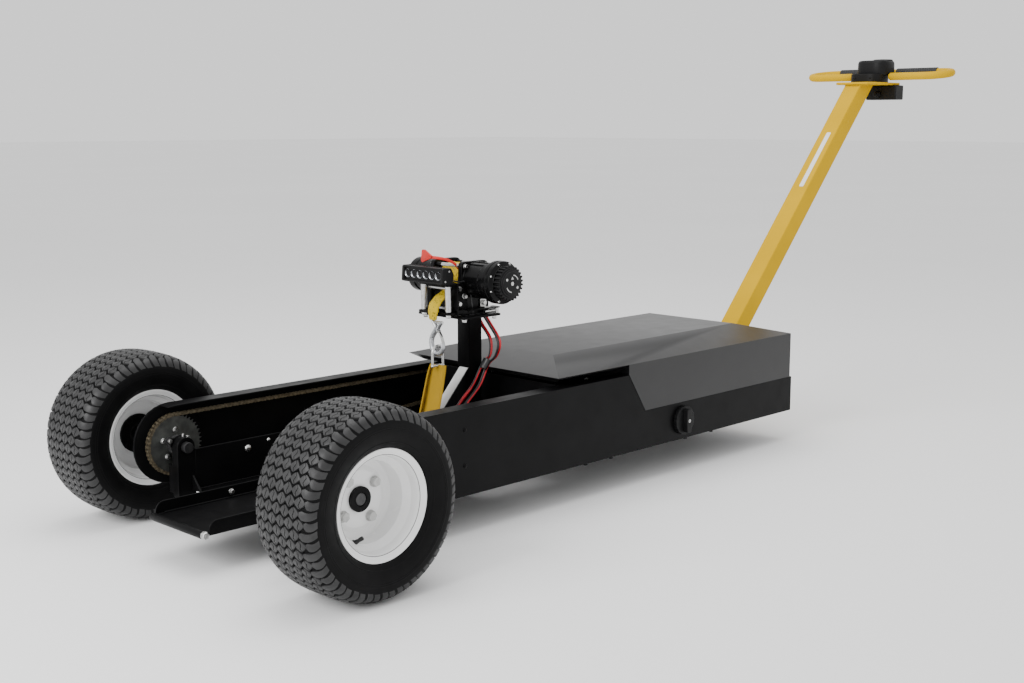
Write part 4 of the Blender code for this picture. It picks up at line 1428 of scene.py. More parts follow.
@dataclass
class BatteryBay(Assembly):
    """Batteries and drive unit under the hood, as simple closed units."""

    def build(self) -> None:
        """Place both batteries with lids and terminals, and the drive unit."""
        for side in Side:
            node = side.word + "_battery"
            self.refine(node, BATTERY_CASE, bevel=0.004, segments=3)
            low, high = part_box(node)
            x0, x1 = low.x - AXLE_X, high.x - AXLE_X
            lid = Shape().block((x0 + 0.003, low.y + 0.003, high.z + 0.0002),
                                (x1 - 0.003, high.y - 0.003, high.z + 0.006))
            lid.block((x0 + 0.045, low.y + 0.035, high.z + 0.006),
                      (x1 - 0.045, high.y - 0.035, high.z + 0.01))
            self.place(side.word + "_battery_lid", lid, MOULDED, bevel=0.002)
            posts = Shape()
            for x in (x0 + 0.026, x1 - 0.026):
                posts.rod(0.0075, 0.0085, facing((x, low.y + 0.024, high.z + 0.006), (0, 0, 1)), 20)
                posts.hex_bolt((x, low.y + 0.024, high.z + 0.014), (0, 0, 1), 0.01, 0.0035)
            self.place(side.word + "_battery_posts", posts, ZINC)
        self.refine("drive_unit", CASTING, bevel=0.006, segments=3)
        low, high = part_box("drive_unit")
        bolts = Shape()
        for x in (low.x + 0.022, high.x - 0.022):
            for y in (low.y + 0.022, 0.0, high.y - 0.022):
                bolts.hex_bolt((x - AXLE_X, y, high.z), (0, 0, 1), 0.011, 0.006, 0.0, 0.008)
        self.place("drive_unit_bolts", bolts, ZINC)


@dataclass
class Hood(Assembly):
    """The hipped sheet hood."""

    def build(self) -> None:
        """Show the hood with softly folded edges."""
        self.refine("hood", HOOD_PAINT, Body.LID, bevel=0.0030, segments=3)


@dataclass
class SideKnob(Assembly):
    """Round freewheel knob with a finger bar and a scalloped rim."""

    radius: float = 0.04
    scallops: int = 16

    def build(self) -> None:
        """Place the knob on its wall."""
        low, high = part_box("side_knob")
        x = (low.x + high.x) / 2.0 - AXLE_X
        z = (low.z + high.z) / 2.0
        wall = high.y
        outline = []
        for k in range(self.scallops):
            for share, reach in ((0.0, 1.0), (0.25, 0.985), (0.5, 0.945), (0.75, 0.985)):
                t = FULL_TURN * (k + share) / self.scallops
                outline.append((x + self.radius * reach * math.cos(t),
                                z + self.radius * reach * math.sin(t)))
        knob = Shape().prism(outline, "y", wall - 0.0120, wall)
        bar = rounded([(x - 0.009, z - 0.033, 0.006), (x + 0.009, z - 0.033, 0.006),
                       (x + 0.011, z, 0.02), (x + 0.009, z + 0.033, 0.006),
                       (x - 0.009, z + 0.033, 0.006), (x - 0.011, z, 0.02)], 4)
        knob.prism(bar, "y", low.y + 0.0004, wall - 0.0110)
        self.place("side_knob_body", knob, MOULDED, replaces=("side_knob",),
                   bevel=0.0016, segments=3)
        dot = Shape().cap_screw((x, low.y + 0.0006, z), (0.0, -1.0, 0.0), 0.0045, 0.0003)
        self.place("side_knob_screw", dot, ZINC)


@dataclass
class Caster(Assembly):
    """Swivel caster: plate, raceway, fork, tread, core and axle bolt."""

    def build(self) -> None:
        """Place the caster's pieces."""
        self.refine("caster_plate", ZINC, bevel=0.0015)
        self.refine("caster_fork", ZINC, Body.SWIVEL, bevel=0.0010)
        low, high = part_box("caster_plate")
        bolts = Shape()
        for x in (low.x + 0.014, high.x - 0.014):
            for y in (low.y + 0.013, high.y - 0.013):
                bolts.hex_bolt((x - AXLE_X, y, low.z), (0, 0, -1), 0.013, 0.0045)
        self.place("caster_plate_bolts", bolts, ZINC)
        low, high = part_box("caster_wheel")
        middle = ((low.x + high.x) / 2.0 - AXLE_X, 0.0, (low.z + high.z) / 2.0)
        radius = (high.z - low.z) / 2.0
        at = facing(middle, (0.0, 1.0, 0.0))
        tread = rounded([(radius - 0.014, -0.0185), (radius - 0.003, -0.0185, 0.006),
                         (radius, 0.0, 0.02), (radius - 0.003, 0.0185, 0.006),
                         (radius - 0.014, 0.0185)], 5)
        self.place("caster_tread", Shape().lathe(tread, at, 64, closed=True), CASTER_RUBBER,
                   Body.ROLLER, ("caster_wheel",), smooth=50)
        core = rounded([(0.007, -0.0258), (0.012, -0.0258, 0.001), (0.012, -0.013, 0.002),
                        (0.04, -0.006, 0.004), (radius - 0.0145, -0.017, 0.001),
                        (radius - 0.0145, 0.017, 0.001), (0.04, 0.006, 0.004),
                        (0.012, 0.013, 0.002), (0.012, 0.0258, 0.001), (0.007, 0.0258)], 3)
        self.place("caster_core", Shape().lathe(core, at, 64, closed=True), MOULDED,
                   Body.ROLLER, smooth=50)
        bolt = Shape().rod(0.0058, 0.07, at @ Matrix.Translation((0.0, 0.0, -0.035)), 20)
        for sign in (-1.0, 1.0):
            place = (middle[0], sign * 0.0312, middle[2])
            bolt.hex_bolt(place, (0.0, sign, 0.0), 0.016, 0.0065)
        self.place("caster_axle_bolt", bolt, ZINC, Body.SWIVEL, bevel=0.0003)


# ---------------------------------------------------------------- winch

@dataclass
class WinchPost(Assembly):
    """Square post with the winch plate on top."""

    def build(self) -> None:
        """Show the post and place the plate's bolts, stop rod and small bracket."""
        self.refine("winch_post", POWDER, bevel=0.0024, segments=3)
        bolts = Shape()
        for x in (0.636, 0.741):
            for y in (-0.072, 0.072):
                bolts.hex_bolt((x, y, 0.468), (0, 0, -1), 0.011, 0.0065, 12.0, 0.008)
        for y in (-0.076, 0.076):
            bolts.rod(0.005, 0.0138, facing((0.7455, y, 0.4741), (0, 0, 1)), 16)
        bolts.rod(0.0048, 0.044, facing((0.706, -0.072, 0.481), (1, 0, 0)), 16)
        bolts.block((0.702, -0.078, 0.4912), (0.722, -0.06, 0.4934))
        bolts.block((0.702, -0.062, 0.4912), (0.722, -0.06, 0.512))
        bolts.hex_bolt((0.712, -0.062, 0.503), (0, -1, 0), 0.0105, 0.0055, 20.0, 0.007)
        self.place("winch_plate_bolts", bolts, ZINC)


@dataclass
class Winch(Assembly):
    """Gearbox with its clutch knob, motor, drum, tie bars and side plates."""

    x: float = 0.688
    z: float = 0.5625
    knurls: int = 26
    drum_half: float = 0.038
    rope_turns: int = 4

    def axis(self, sign: float) -> Matrix:
        """Frame on the winch's axis, with +Z to the side of the sign."""
        return facing((self.x, 0.0, self.z), (0.0, sign, 0.0))

    def gearbox(self) -> None:
        """Ribbed housing, bolted ring, toothed knob and its face."""
        at = self.axis(-1.0)
        profile = rounded([(0.0, 0.0505), (0.0462, 0.0505), (0.0466, 0.056, 0.001),
                           (0.044, 0.059, 0.002), (0.044, 0.108, 0.002),
                           (0.0466, 0.114, 0.002), (0.0468, 0.127, 0.002),
                           (0.0535, 0.133, 0.002), (0.0538, 0.144, 0.001),
                           (0.0518, 0.1455, 0.001), (0.0518, 0.148, 0.001),
                           (0.0538, 0.1495, 0.001), (0.0535, 0.159, 0.002),
                           (0.043, 0.163, 0.002), (0.0425, 0.1645), (0.0, 0.1645)], 3)
        self.place("gearbox_case", Shape().lathe(profile, at, 64), CASTING,
                   replaces=("winch_gearbox",), smooth=34)
        ribs = Shape()
        for turn in (65.0, 90.0, 115.0, 245.0, 270.0, 295.0):
            place = at @ Matrix.Rotation(math.radians(turn), 4, "Z")
            ribs.block((0.043, -0.002, 0.057), (0.0464, 0.002, 0.115), place)
        self.place("gearbox_ribs", ribs, CASTING, bevel=0.0008)
        knob = Shape()
        outline = []
        for k in range(self.knurls):
            for share, radius in ((0.08, 0.0385), (0.26, 0.0438), (0.62, 0.0438), (0.8, 0.0385)):
                t = FULL_TURN * (k + share) / self.knurls
                outline.append((radius * math.cos(t), radius * math.sin(t)))
        knob.prism(outline, "z", 0.1648, 0.1835, at)
        face = rounded([(0.0, 0.183), (0.035, 0.183), (0.0345, 0.186, 0.0015),
                        (0.03, 0.1868, 0.001), (0.0295, 0.189, 0.001), (0.0, 0.1892)], 3)
        knob.lathe(face, at, 48)
        self.place("clutch_knob", knob, MOULDED, bevel=0.0007)
        marks = Shape()
        for start, end in ((25.0, 80.0), (205.0, 260.0)):
            ring = arc((0.0, 0.0), 0.0225, start, end, 8) + arc((0.0, 0.0), 0.02, end, start, 8)
            marks.prism(ring, "z", 0.1888, 0.1896, at)
        marks.prism([(-0.0045, 0.0105), (0.0045, 0.0105), (0.0, 0.0175)], "z", 0.1888, 0.1896, at)
        self.place("clutch_marks", marks, GREY_PAINT_AND_BOLT_SHADE, slot=Slot.BRIGHT)
        bolts = Shape()
        hub = at @ Vector((0.0, 0.0, 0.1885))
        bolts.hex_bolt(hub, (0, -1, 0), 0.009, 0.0014)
        for turn in (150.0, 330.0):
            t = math.radians(turn)
            place = at @ Vector((0.021 * math.cos(t), 0.021 * math.sin(t), 0.1885))
            bolts.dome(place, (0, -1, 0), 0.0038, 0.0014)
        for k in range(8):
            t = math.radians(22.5 + 45.0 * k)
            place = at @ Vector((0.0488 * math.cos(t), 0.0488 * math.sin(t), 0.159))
            bolts.cap_screw(place, (0, -1, 0), 0.0032, 0.0036)
        self.place("gearbox_bolts", bolts, ZINC)

    def motor(self) -> None:
        """Motor can with its end bell, through bolts and terminals."""
        at = self.axis(1.0)
        profile = rounded([(0.0, 0.0505), (0.0445, 0.0505), (0.0448, 0.06, 0.001),
                           (0.042, 0.062, 0.001), (0.042, 0.127, 0.001),
                           (0.0448, 0.129, 0.001), (0.0446, 0.148, 0.004),
                           (0.037, 0.158, 0.004), (0.012, 0.1595, 0.001), (0.0, 0.1595)], 3)
        self.place("motor_can", Shape().lathe(profile, at, 56), CASTING,
                   replaces=("winch_motor",), smooth=34)
        bolts = Shape()
        for turn in (40.0, 140.0, 220.0, 320.0):
            t = math.radians(turn)
            place = at @ Vector((0.0355 * math.cos(t), 0.0355 * math.sin(t), 0.156))
            bolts.hex_bolt(place, (0, 1, 0), 0.007, 0.0035)
        for y in (0.076, 0.105):
            bolts.rod(0.0035, 0.01, facing((self.x + 0.028, y, self.z - 0.032),
                                            (0.65, 0.0, -0.75)), 12)
        self.place("motor_bolts", bolts, ZINC)

    def plates(self) -> None:
        """Side plates beside the drum, the cheeks in front of them and their bolts."""
        plates = Shape()
        cheeks = Shape()
        outline = rounded([(0.6405, 0.475), (0.7355, 0.475), (0.7355, 0.61, 0.018),
                           (0.6405, 0.61, 0.014)], 5)
        front = rounded([(0.6185, 0.494), (0.656, 0.494), (0.656, 0.56),
                         (0.638, 0.56, 0.01), (0.6185, 0.55, 0.004)], 4)
        for sign in (-1.0, 1.0):
            plates.prism(outline, "y", sign * 0.0442, sign * 0.0575)
            cheeks.prism(front, "y", sign * 0.054, sign * 0.0585)
            foot = rounded([(0.65, -0.083, 0.003), (0.752, -0.083, 0.003), (0.752, -0.056),
                            (0.65, -0.056)], 3)
            cheeks.prism([(x, -sign * y) for x, y in foot], "z", 0.4880, 0.4910)
        self.place("winch_side_plates", plates, CASTING, bevel=0.0018)
        self.place("fairlead_cheeks", cheeks, POWDER, bevel=0.0008)
        bolts = Shape()
        for sign in (-1.0, 1.0):
            for x, z in ((0.629, 0.544), (0.648, 0.524), (0.629, 0.506)):
                bolts.hex_bolt((x, sign * 0.0585, z), (0, sign, 0), 0.0105, 0.006, 15.0, 0.007)
            for dx, dz in ((-0.036, 0.036), (0.036, 0.036)):
                bolts.hex_bolt((self.x + dx, sign * 0.0575, self.z + dz), (0, sign, 0),
                               0.009, 0.0055, 10.0, 0.006)
        self.place("side_plate_bolts", bolts, ZINC)

    def bars(self) -> None:
        """Tie bars between the side plates, each with a dark sleeve end."""
        for word, dx in (("front", -0.036), ("rear", 0.036)):
            at = facing((self.x + dx, -0.0436, self.z + 0.036), (0, 1, 0))
            self.place(word + "_tie_rod", Shape().rod(0.0046, 0.0872, at, 20), ZINC,
                       replaces=(word + "_tie_bar",))
            collar = Shape().rod(0.005, 0.019, at @ Matrix.Translation((0.0, 0.0, 0.068)), 20)
            self.place(word + "_tie_sleeve", collar, MOULDED)

    def drum(self) -> None:
        """Thin drum flanges and the flat turns of the wound rope."""
        at = self.axis(1.0)
        half = self.drum_half
        flanges = Shape()
        for sign in (-1.0, 1.0):
            low, high = sorted((sign * half, sign * (half - 0.0025)))
            ring = [(0.012, low), (0.0395, low), (0.0395, high), (0.012, high)]
            flanges.lathe(ring, at, 48, closed=True)
        self.place("drum_flanges", flanges, DARK_STEEL, Body.DRUM, slot=Slot.WINCH)
        pitch = (2.0 * half - 0.0056) / self.rope_turns
        profile = [(0.0, -half + 0.0028)]
        for k in range(self.rope_turns):
            start = -half + 0.0028 + k * pitch
            for j in range(6):
                share = (j + 0.5) / 6.0
                swell = math.sqrt(max(0.0, 1.0 - (2.0 * share - 1.0) ** 2))
                profile.append((0.0365 + 0.0034 * swell, start + share * pitch))
        profile.append((0.0, half - 0.0028))
        coil = Shape().lathe(profile, at, 72)
        for vert in coil.bm.verts:
            away = Vector((vert.co.x - self.x, 0.0, vert.co.z - self.z))
            if away.length > 0.02:
                turn = math.atan2(away.z, away.x)
                vert.co += away.normalized() * 0.0005 * math.sin(5.0 * turn + 260.0 * vert.co.y)
        self.place("drum_rope", coil, ROPE_FIBRE, Body.DRUM, ("winch_drum",), smooth=60)

    def wires(self) -> None:
        """Thin lamp wire along the front of the winch."""
        knots = [(0.588, -0.066, 0.572), (0.606, -0.07, 0.566), (0.626, -0.068, 0.562),
                 (0.646, -0.066, 0.56), (0.662, -0.067, 0.53), (0.668, -0.0665, 0.495),
                 (0.672, -0.065, 0.48)]
        wire = Shape().sweep(smooth_path(knots, 40), lambda s: (0.0018, 0.0018), 10)
        self.place("lamp_wire", wire, BLACK_SHEATH, smooth=60)

    def build(self) -> None:
        """Place the winch's pieces."""
        self.gearbox()
        self.motor()
        self.plates()
        self.bars()
        self.drum()
        self.wires()


@dataclass
class Fairlead(Assembly):
    """Roller fairlead: frame with a window, shelves, rollers and nuts."""

    x: float = 0.61
    y: float = -0.011
    half: float = 0.063
    window: float = 0.036
    roller_y: float = 0.0445
    low: float = 0.484
    high: float = 0.556

    def frame(self) -> Shape:
        """The folded frame and its two shelves.

        Returns:
            The frame's mesh.
        """
        made = Shape()
        x0, x1 = self.x + 0.002, self.x + 0.006
        outer = self.y - self.half, self.y + self.half
        inner = self.y - self.window, self.y + self.window
        made.block((x0, outer[0], self.low - 0.004), (x1, outer[1], 0.496))
        made.block((x0, outer[0], 0.546), (x1, outer[1], self.high + 0.004))
        made.block((x0, outer[0], 0.496), (x1, inner[0], 0.546))
        made.block((x0, inner[1], 0.496), (x1, outer[1], 0.546))
        reach = self.roller_y + 0.0125
        for z in (self.low, self.high):
            shelf = rounded([(x0 - 0.026, self.y - reach, 0.008), (x1, self.y - reach),
                             (x1, self.y + reach), (x0 - 0.026, self.y + reach, 0.008)], 4)
            made.prism(shelf, "z", z - 0.003, z + 0.003)
        made.block((x0, -0.07, self.low - 0.002), (0.639, -0.06, self.low + 0.008))
        return made

    def build(self) -> None:
        """Place the frame, rollers and nuts."""
        self.place("fairlead_frame", self.frame(), POWDER, replaces=("fairlead",),
                   bevel=0.0009)
        rollers = Shape()
        nuts = Shape()
        x = self.x - 0.013
        for sign in (-1.0, 1.0):
            y = self.y + sign * self.roller_y
            length = self.high - self.low - 0.0072
            at = facing((x, y, self.low + 0.0036), (0, 0, 1))
            profile = [(0.0, 0.0), (0.0074, 0.0), (0.008, 0.0008), (0.008, length - 0.0008),
                       (0.0074, length), (0.0, length)]
            rollers.lathe(profile, at, 28)
            nuts.hex_bolt((x, y, self.low - 0.003), (0, 0, -1), 0.011, 0.0065, 9.0, 0.0072)
            nuts.hex_bolt((x, y, self.high + 0.003), (0, 0, 1), 0.011, 0.0018, 9.0)
        for z in (self.low + 0.0105, self.high - 0.0105):
            at = facing((self.x - 0.003, self.y - self.roller_y + 0.009, z), (0, 1, 0))
            rollers.rod(0.0046, 2.0 * self.roller_y - 0.018, at, 20)
        self.place("fairlead_rollers", rollers, BRUSHED, smooth=32)
        self.place("fairlead_nuts", nuts, ZINC)


@dataclass
class LightBar(Assembly):
    """Finned lamp housing with six reflectors behind a bezel."""

    y: float = -0.011
    half: float = 0.075
    lamps: int = 6
    front_low: float = 0.548
    front_high: float = 0.551
    fins: int = 13
    lamp_margin: float = 0.0085

    def housing(self) -> Shape:
        """Core with fins on its back and solid end caps.

        Returns:
            The housing's mesh.
        """
        made = Shape()
        core = rounded([(0.556, 0.5625), (0.578, 0.5625), (0.58, 0.584, 0.004),
                        (0.573, 0.5985, 0.004), (0.556, 0.5985)], 4)
        made.prism(core, "y", self.y - self.half + 0.002, self.y + self.half - 0.002)
        step = (2.0 * self.half - 0.024) / (self.fins - 1)
        fin = rounded([(0.556, 0.5614), (0.585, 0.5614, 0.003), (0.5884, 0.584, 0.005),
                       (0.5794, 0.6016, 0.004), (0.556, 0.6016)], 4)
        for k in range(self.fins):
            middle = self.y - self.half + 0.012 + k * step
            made.prism(fin, "y", middle - 0.0016, middle + 0.0016)
        cap = rounded([(self.front_low + 0.0004, 0.5614, 0.005), (0.585, 0.5614, 0.005),
                       (0.5884, 0.584, 0.006), (0.5794, 0.6016, 0.006),
                       (self.front_high, 0.6016, 0.006)], 5)
        for sign in (-1.0, 1.0):
            made.prism(cap, "y", self.y + sign * self.half, self.y + sign * (self.half - 0.0065))
        return made

    def bezel(self) -> Shape:
        """Frame round the lamp face.

        Returns:
            The bezel's mesh.
        """
        made = Shape()
        inner = self.half - self.lamp_margin
        made.block((0.5495, self.y - self.half + 0.006, 0.5614),
                   (0.56, self.y + self.half - 0.006, 0.5665))
        made.block((0.5505, self.y - self.half + 0.006, 0.5975),
                   (0.56, self.y + self.half - 0.006, 0.6016))
        for sign in (-1.0, 1.0):
            low, high = sorted((self.y + sign * inner, self.y + sign * (self.half - 0.006)))
            made.block((0.55, low, 0.564), (0.56, high, 0.5995))
        return made

    def build(self) -> None:
        """Place the housing, bezel, reflectors, lamps and brackets."""
        self.place("light_housing", self.housing(), MOULDED,
                   replaces=("light_bar",), bevel=0.0006)
        self.place("light_bezel", self.bezel(), MOULDED, bevel=0.001)
        dishes = Shape()
        chips = Shape()
        step = 2.0 * (self.half - self.lamp_margin) / self.lamps
        for k in range(self.lamps):
            y = self.y - self.half + self.lamp_margin + (k + 0.5) * step
            at = facing((0.5585, y, 0.582), (-1, 0, 0))
            dishes.lathe([(0.0, -0.0004), (0.004, 0.0), (0.0075, 0.0022), (0.0098, 0.0058),
                          (0.0104, 0.006), (0.0104, -0.002), (0.0, -0.002)], at, 28)
            chips.dome((0.5583, y, 0.582), (-1, 0, 0), 0.0034, 0.0026)
        self.place("light_reflectors", dishes, LENS, smooth=60)
        self.place("light_chips", chips, LAMP_CHIP)
        face = Shape().block((0.555, self.y - self.half + 0.008, 0.565),
                             (0.5566, self.y + self.half - 0.008, 0.599))
        self.place("light_face", face, MOULDED)
        arms = Shape()
        for y in (self.y - 0.052, self.y + 0.04):
            arms.block((0.578, y, 0.5605), (0.612, y + 0.012, 0.5632))
        self.place("light_arms", arms, POWDER, bevel=0.0006)
        screws = Shape()
        for sign in (-1.0, 1.0):
            for x, z in ((0.559, 0.569), (0.572, 0.593)):
                screws.cap_screw((x, self.y + sign * self.half, z), (0, sign, 0), 0.0027, 0.0016)
        self.place("light_screws", screws, ZINC)


@dataclass
class PullRope(Assembly):
    """Wide braided rope from the drum over the roller to the hook, and its red pull tag."""

    y: float = -0.024
    route: tuple[tuple[float, float], ...] = ((0.634, 0.538), (0.622, 0.533), (0.599, 0.522),
                                              (0.581, 0.507), (0.5745, 0.488), (0.574, 0.4685))

    def build(self) -> None:
        """Place the rope and the tag."""
        path = smooth_path([(x, self.y, z) for x, z in self.route], 44)

        def size(share: float) -> tuple[float, float]:
            """Half width and half thickness of the braid.

            Args:
                share: share of the path.

            Returns:
                Half width and half thickness.
            """
            lump = 0.0005 * math.sin(34.0 * share)
            narrow = 0.007 * (max(0.0, share - 0.62) / 0.38) ** 2
            return 0.0184 - narrow + lump, 0.0074 + 0.5 * lump - 0.3 * narrow

        self.place("pull_rope", Shape().sweep(path, size, 24), ROPE_FIBRE,
                   replaces=("winch_rope",), smooth=60)
        tag = Shape()
        outline = rounded([(0.006, 0.618, 0.002), (0.04, 0.6055, 0.003), (0.044, 0.612, 0.003),
                           (0.04, 0.6385, 0.004), (0.032, 0.638, 0.004),
                           (0.006, 0.624, 0.002)], 4)
        tag.prism(outline, "x", 0.5960, 0.6020)
        strap = smooth_path([(0.599, 0.012, 0.6205), (0.612, -0.006, 0.6185),
                             (0.63, -0.02, 0.613), (0.647, -0.029, 0.602),
                             (0.654, -0.031, 0.5905)], 24)
        tag.sweep(strap, lambda s: (0.0044 - 0.0012 * s, 0.0014), 12, up=(0.6, 0.0, 0.8))
        self.place("red_tag", tag, RED_STRAP, smooth=50, bevel=0.0008)


@dataclass
class Hook(Assembly):
    """Forged clevis hook with a latch, and the shackle below it."""

    x: float = 0.576
    y: float = -0.038
    low: float = 0.374
    ring_z: float = 0.3865
    bow: float = 0.0175

    def hook(self) -> Shape:
        """Clevis eye, shank, bend and tip as one forging.

        Returns:
            The hook's mesh.
        """
        made = Shape()
        curve = [(-0.001, 0.077), (0.01, 0.064), (0.0215, 0.046), (0.0195, 0.024),
                 (0.006, 0.011), (-0.01, 0.0125), (-0.0195, 0.026), (-0.018, 0.04)]
        path = smooth_path([(self.x, self.y + y, self.low + z) for y, z in curve], 34)

        def size(share: float) -> tuple[float, float]:
            """The section, thickest in the bend and slim at the tip."""
            thick = 0.0066 if share < 0.75 else 0.0066 - 0.012 * (share - 0.75)
            return 0.0064, thick

        made.sweep(path, size, 16, up=(1.0, 0.0, 0.0))
        for sign in (-1.0, 1.0):
            prong = smooth_path([(self.x + sign * 0.0005, self.y - 0.001, self.low + 0.07),
                                 (self.x, self.y + sign * 0.008, self.low + 0.082),
                                 (self.x, self.y + sign * 0.0165, self.low + 0.0905)], 10)
            made.sweep(prong, lambda s: (0.0062 - 0.001 * s, 0.004), 12, up=(1.0, 0.0, 0.0))
        return made

    def build(self) -> None:
        """Place the hook, its latch and pin, and the shackle."""
        self.place("forged_hook", self.hook(), CAST_STEEL, replaces=("winch_hook",),
                   smooth=60)
        latch = Shape()
        path = smooth_path([(self.x, self.y - 0.004, self.low + 0.068),
                            (self.x, self.y - 0.014, self.low + 0.056),
                            (self.x, self.y - 0.0215, self.low + 0.0385)], 12)
        latch.sweep(path, lambda s: (0.005, 0.0014), 10, up=(1.0, 0.0, 0.0))
        at = facing((self.x - 0.0068, self.y - 0.004, self.low + 0.067), (1, 0, 0))
        latch.rod(0.0028, 0.0136, at, 14)
        pin = facing((self.x, self.y - 0.019, self.low + 0.0895), (0, 1, 0))
        latch.rod(0.0034, 0.038, pin, 14)
        self.place("hook_latch", latch, ZINC)
        arch = [(self.x - self.bow, self.ring_z - 0.033)]
        arch += arc((self.x, self.ring_z), self.bow, 180, 0, 14)
        arch += [(self.x + self.bow, self.ring_z - 0.033)]
        path = [Vector((x, self.y, z)) for x, z in arch]
        bow = Shape().sweep(path, lambda s: (0.0034, 0.0034), 16)
        for sign in (-1.0, 1.0):
            x = self.x + sign * self.bow
            bow.rod(0.0042, 0.006, facing((x, self.y, self.ring_z - 0.0358), (0, 0, 1)), 14)
        pin = facing((self.x - 0.0205, self.y, self.ring_z - 0.032), (1, 0, 0))
        bow.rod(0.003, 0.041, pin, 14)
        self.place("shackle_bow", bow, ZINC, replaces=("sling_shackle",), smooth=50)


@dataclass
class Sling(Assembly):
    """Wide woven strap from the shackle down to the tray, with its folded second layer."""

    y: float = -0.038
    half: float = 0.025
    thick: float = 0.0024

    def layer(self, knots: Sequence[Point], half: float, lean: float) -> Shape:
        """One layer of webbing through knots, its width turned about the vertical.

        Args:
            knots: centre line.
            half: half the width of the webbing.
            lean: turn of the width about the vertical, in degrees.

        Returns:
            The layer's mesh.
        """
        t = math.radians(lean)
        path = smooth_path(knots, 40)
        made = Shape()
        rings = []
        for k, centre in enumerate(path):
            before, after = path[max(k - 1, 0)], path[min(k + 1, len(path) - 1)]
            along = (after - before).normalized()
            turned = Vector((math.sin(t), math.cos(t), 0.0))
            wide = (turned - along * along.dot(turned)).normalized()
            flat = along.cross(wide)
            edge = ((-1.0, -0.3), (-0.97, -1.0), (-0.5, -0.85), (0.0, -0.8), (0.5, -0.85),
                    (0.97, -1.0), (1.0, -0.3), (1.0, 0.3), (0.97, 1.0), (0.5, 0.85), (0.0, 0.8),
                    (-0.5, 0.85), (-0.97, 1.0), (-1.0, 0.3))
            ring = [made.bm.verts.new(centre + wide * half * a + flat * self.thick * 0.5 * b)
                    for a, b in edge]
            rings.append(ring)
        made.skin(rings)
        return made

    def build(self) -> None:
        """Place both layers."""
        broad = [(0.577, self.y, 0.3565), (0.575, self.y, 0.34), (0.561, self.y, 0.275),
                 (0.543, self.y, 0.215), (0.518, self.y, 0.147), (0.4965, self.y, 0.099)]
        self.place("sling_strap", self.layer(broad, self.half, -12.0), WEBBING,
                   replaces=("sling_webbing",), smooth=50)
        back = [(0.57, self.y + 0.018, 0.352), (0.564, self.y + 0.021, 0.33),
                (0.549, self.y + 0.022, 0.275), (0.531, self.y + 0.022, 0.215),
                (0.506, self.y + 0.021, 0.147), (0.49, self.y + 0.018, 0.1)]
        edge = self.layer(back, 0.009, 62.0)
        second = [(x + 0.005, y + 0.007, z) for x, y, z in back]
        self.place("sling_fold", edge, WEBBING, smooth=50)
        self.place("sling_fold_back", self.layer(second, 0.008, 62.0), WEBBING,
                   smooth=50)


@dataclass
class Wiring(Assembly):
    """Winch leads with their tape tie, and the flat cover strip."""

    red: tuple[tuple[float, float, float], ...] = (
        (0.757, 0.008, 0.466), (0.755, -0.012, 0.44), (0.749, -0.05, 0.405),
        (0.742, -0.056, 0.365), (0.728, -0.042, 0.34), (0.695, -0.038, 0.287),
        (0.638, -0.038, 0.235), (0.6, -0.038, 0.165), (0.588, -0.038, 0.098))
    black: tuple[tuple[float, float, float], ...] = (
        (0.757, -0.012, 0.466), (0.755, -0.04, 0.44), (0.75, -0.078, 0.4),
        (0.746, -0.072, 0.362), (0.737, -0.05, 0.336), (0.708, -0.047, 0.284),
        (0.651, -0.047, 0.232), (0.613, -0.047, 0.165), (0.601, -0.047, 0.098))

    def lead(self, knots: Sequence[Point], radius: float, shift: Point = (0, 0, 0)) -> Shape:
        """A round cable along knots, moved by shift."""
        path = [spot + Vector(shift) for spot in smooth_path(knots, 60)]
        return Shape().sweep(path, lambda s: (radius, radius), 14)

    def build(self) -> None:
        """Place the cables, tie and strip."""
        self.place("red_lead", self.lead(self.red, 0.0038), RED_SHEATH,
                   replaces=("winch_lead_red",), smooth=60)
        outer = self.lead(self.black, 0.003, (-0.0015, 0.0005, 0.0))
        self.place("black_lead", outer, BLACK_SHEATH,
                   replaces=("winch_lead_black",), smooth=60)
        second = self.lead(self.black, 0.0028, (0.0042, -0.0012, 0.0018))
        self.place("second_red_lead", second, RED_SHEATH, smooth=60)
        thin = self.lead(self.red, 0.0019, (-0.0052, -0.0006, -0.002))
        self.place("thin_black_lead", thin, BLACK_SHEATH, smooth=60)
        tie = Shape().sweep([Vector((0.74, -0.049, 0.352)), Vector((0.733, -0.047, 0.34)),
                             Vector((0.725, -0.045, 0.328))],
                            lambda s: (0.012, 0.0095), 18)
        self.place("lead_tie", tie, BLACK_SHEATH, smooth=50, bevel=0.0015)
        strip = Shape()
        face = [(0.688, 0.3325), (0.69, 0.3325), (0.6, 0.235), (0.5602, 0.0985),
                (0.5585, 0.0985), (0.5982, 0.235)]
        strip.prism(face, "y", -0.0280, 0.0018)
        self.place("cover_strip", strip, WHITE_PLASTIC, replaces=("lead_cover",),
                   bevel=0.0004)
        rim = Shape()
        back = [(0.6902, 0.3328), (0.6919, 0.3328), (0.6019, 0.235), (0.5619, 0.0985),
                (0.5604, 0.0985), (0.6002, 0.235)]
        rim.prism(back, "y", -0.0298, 0.0019)
        self.place("cover_backing", rim, BLACK_SHEATH)


# ---------------------------------------------------------------- tiller

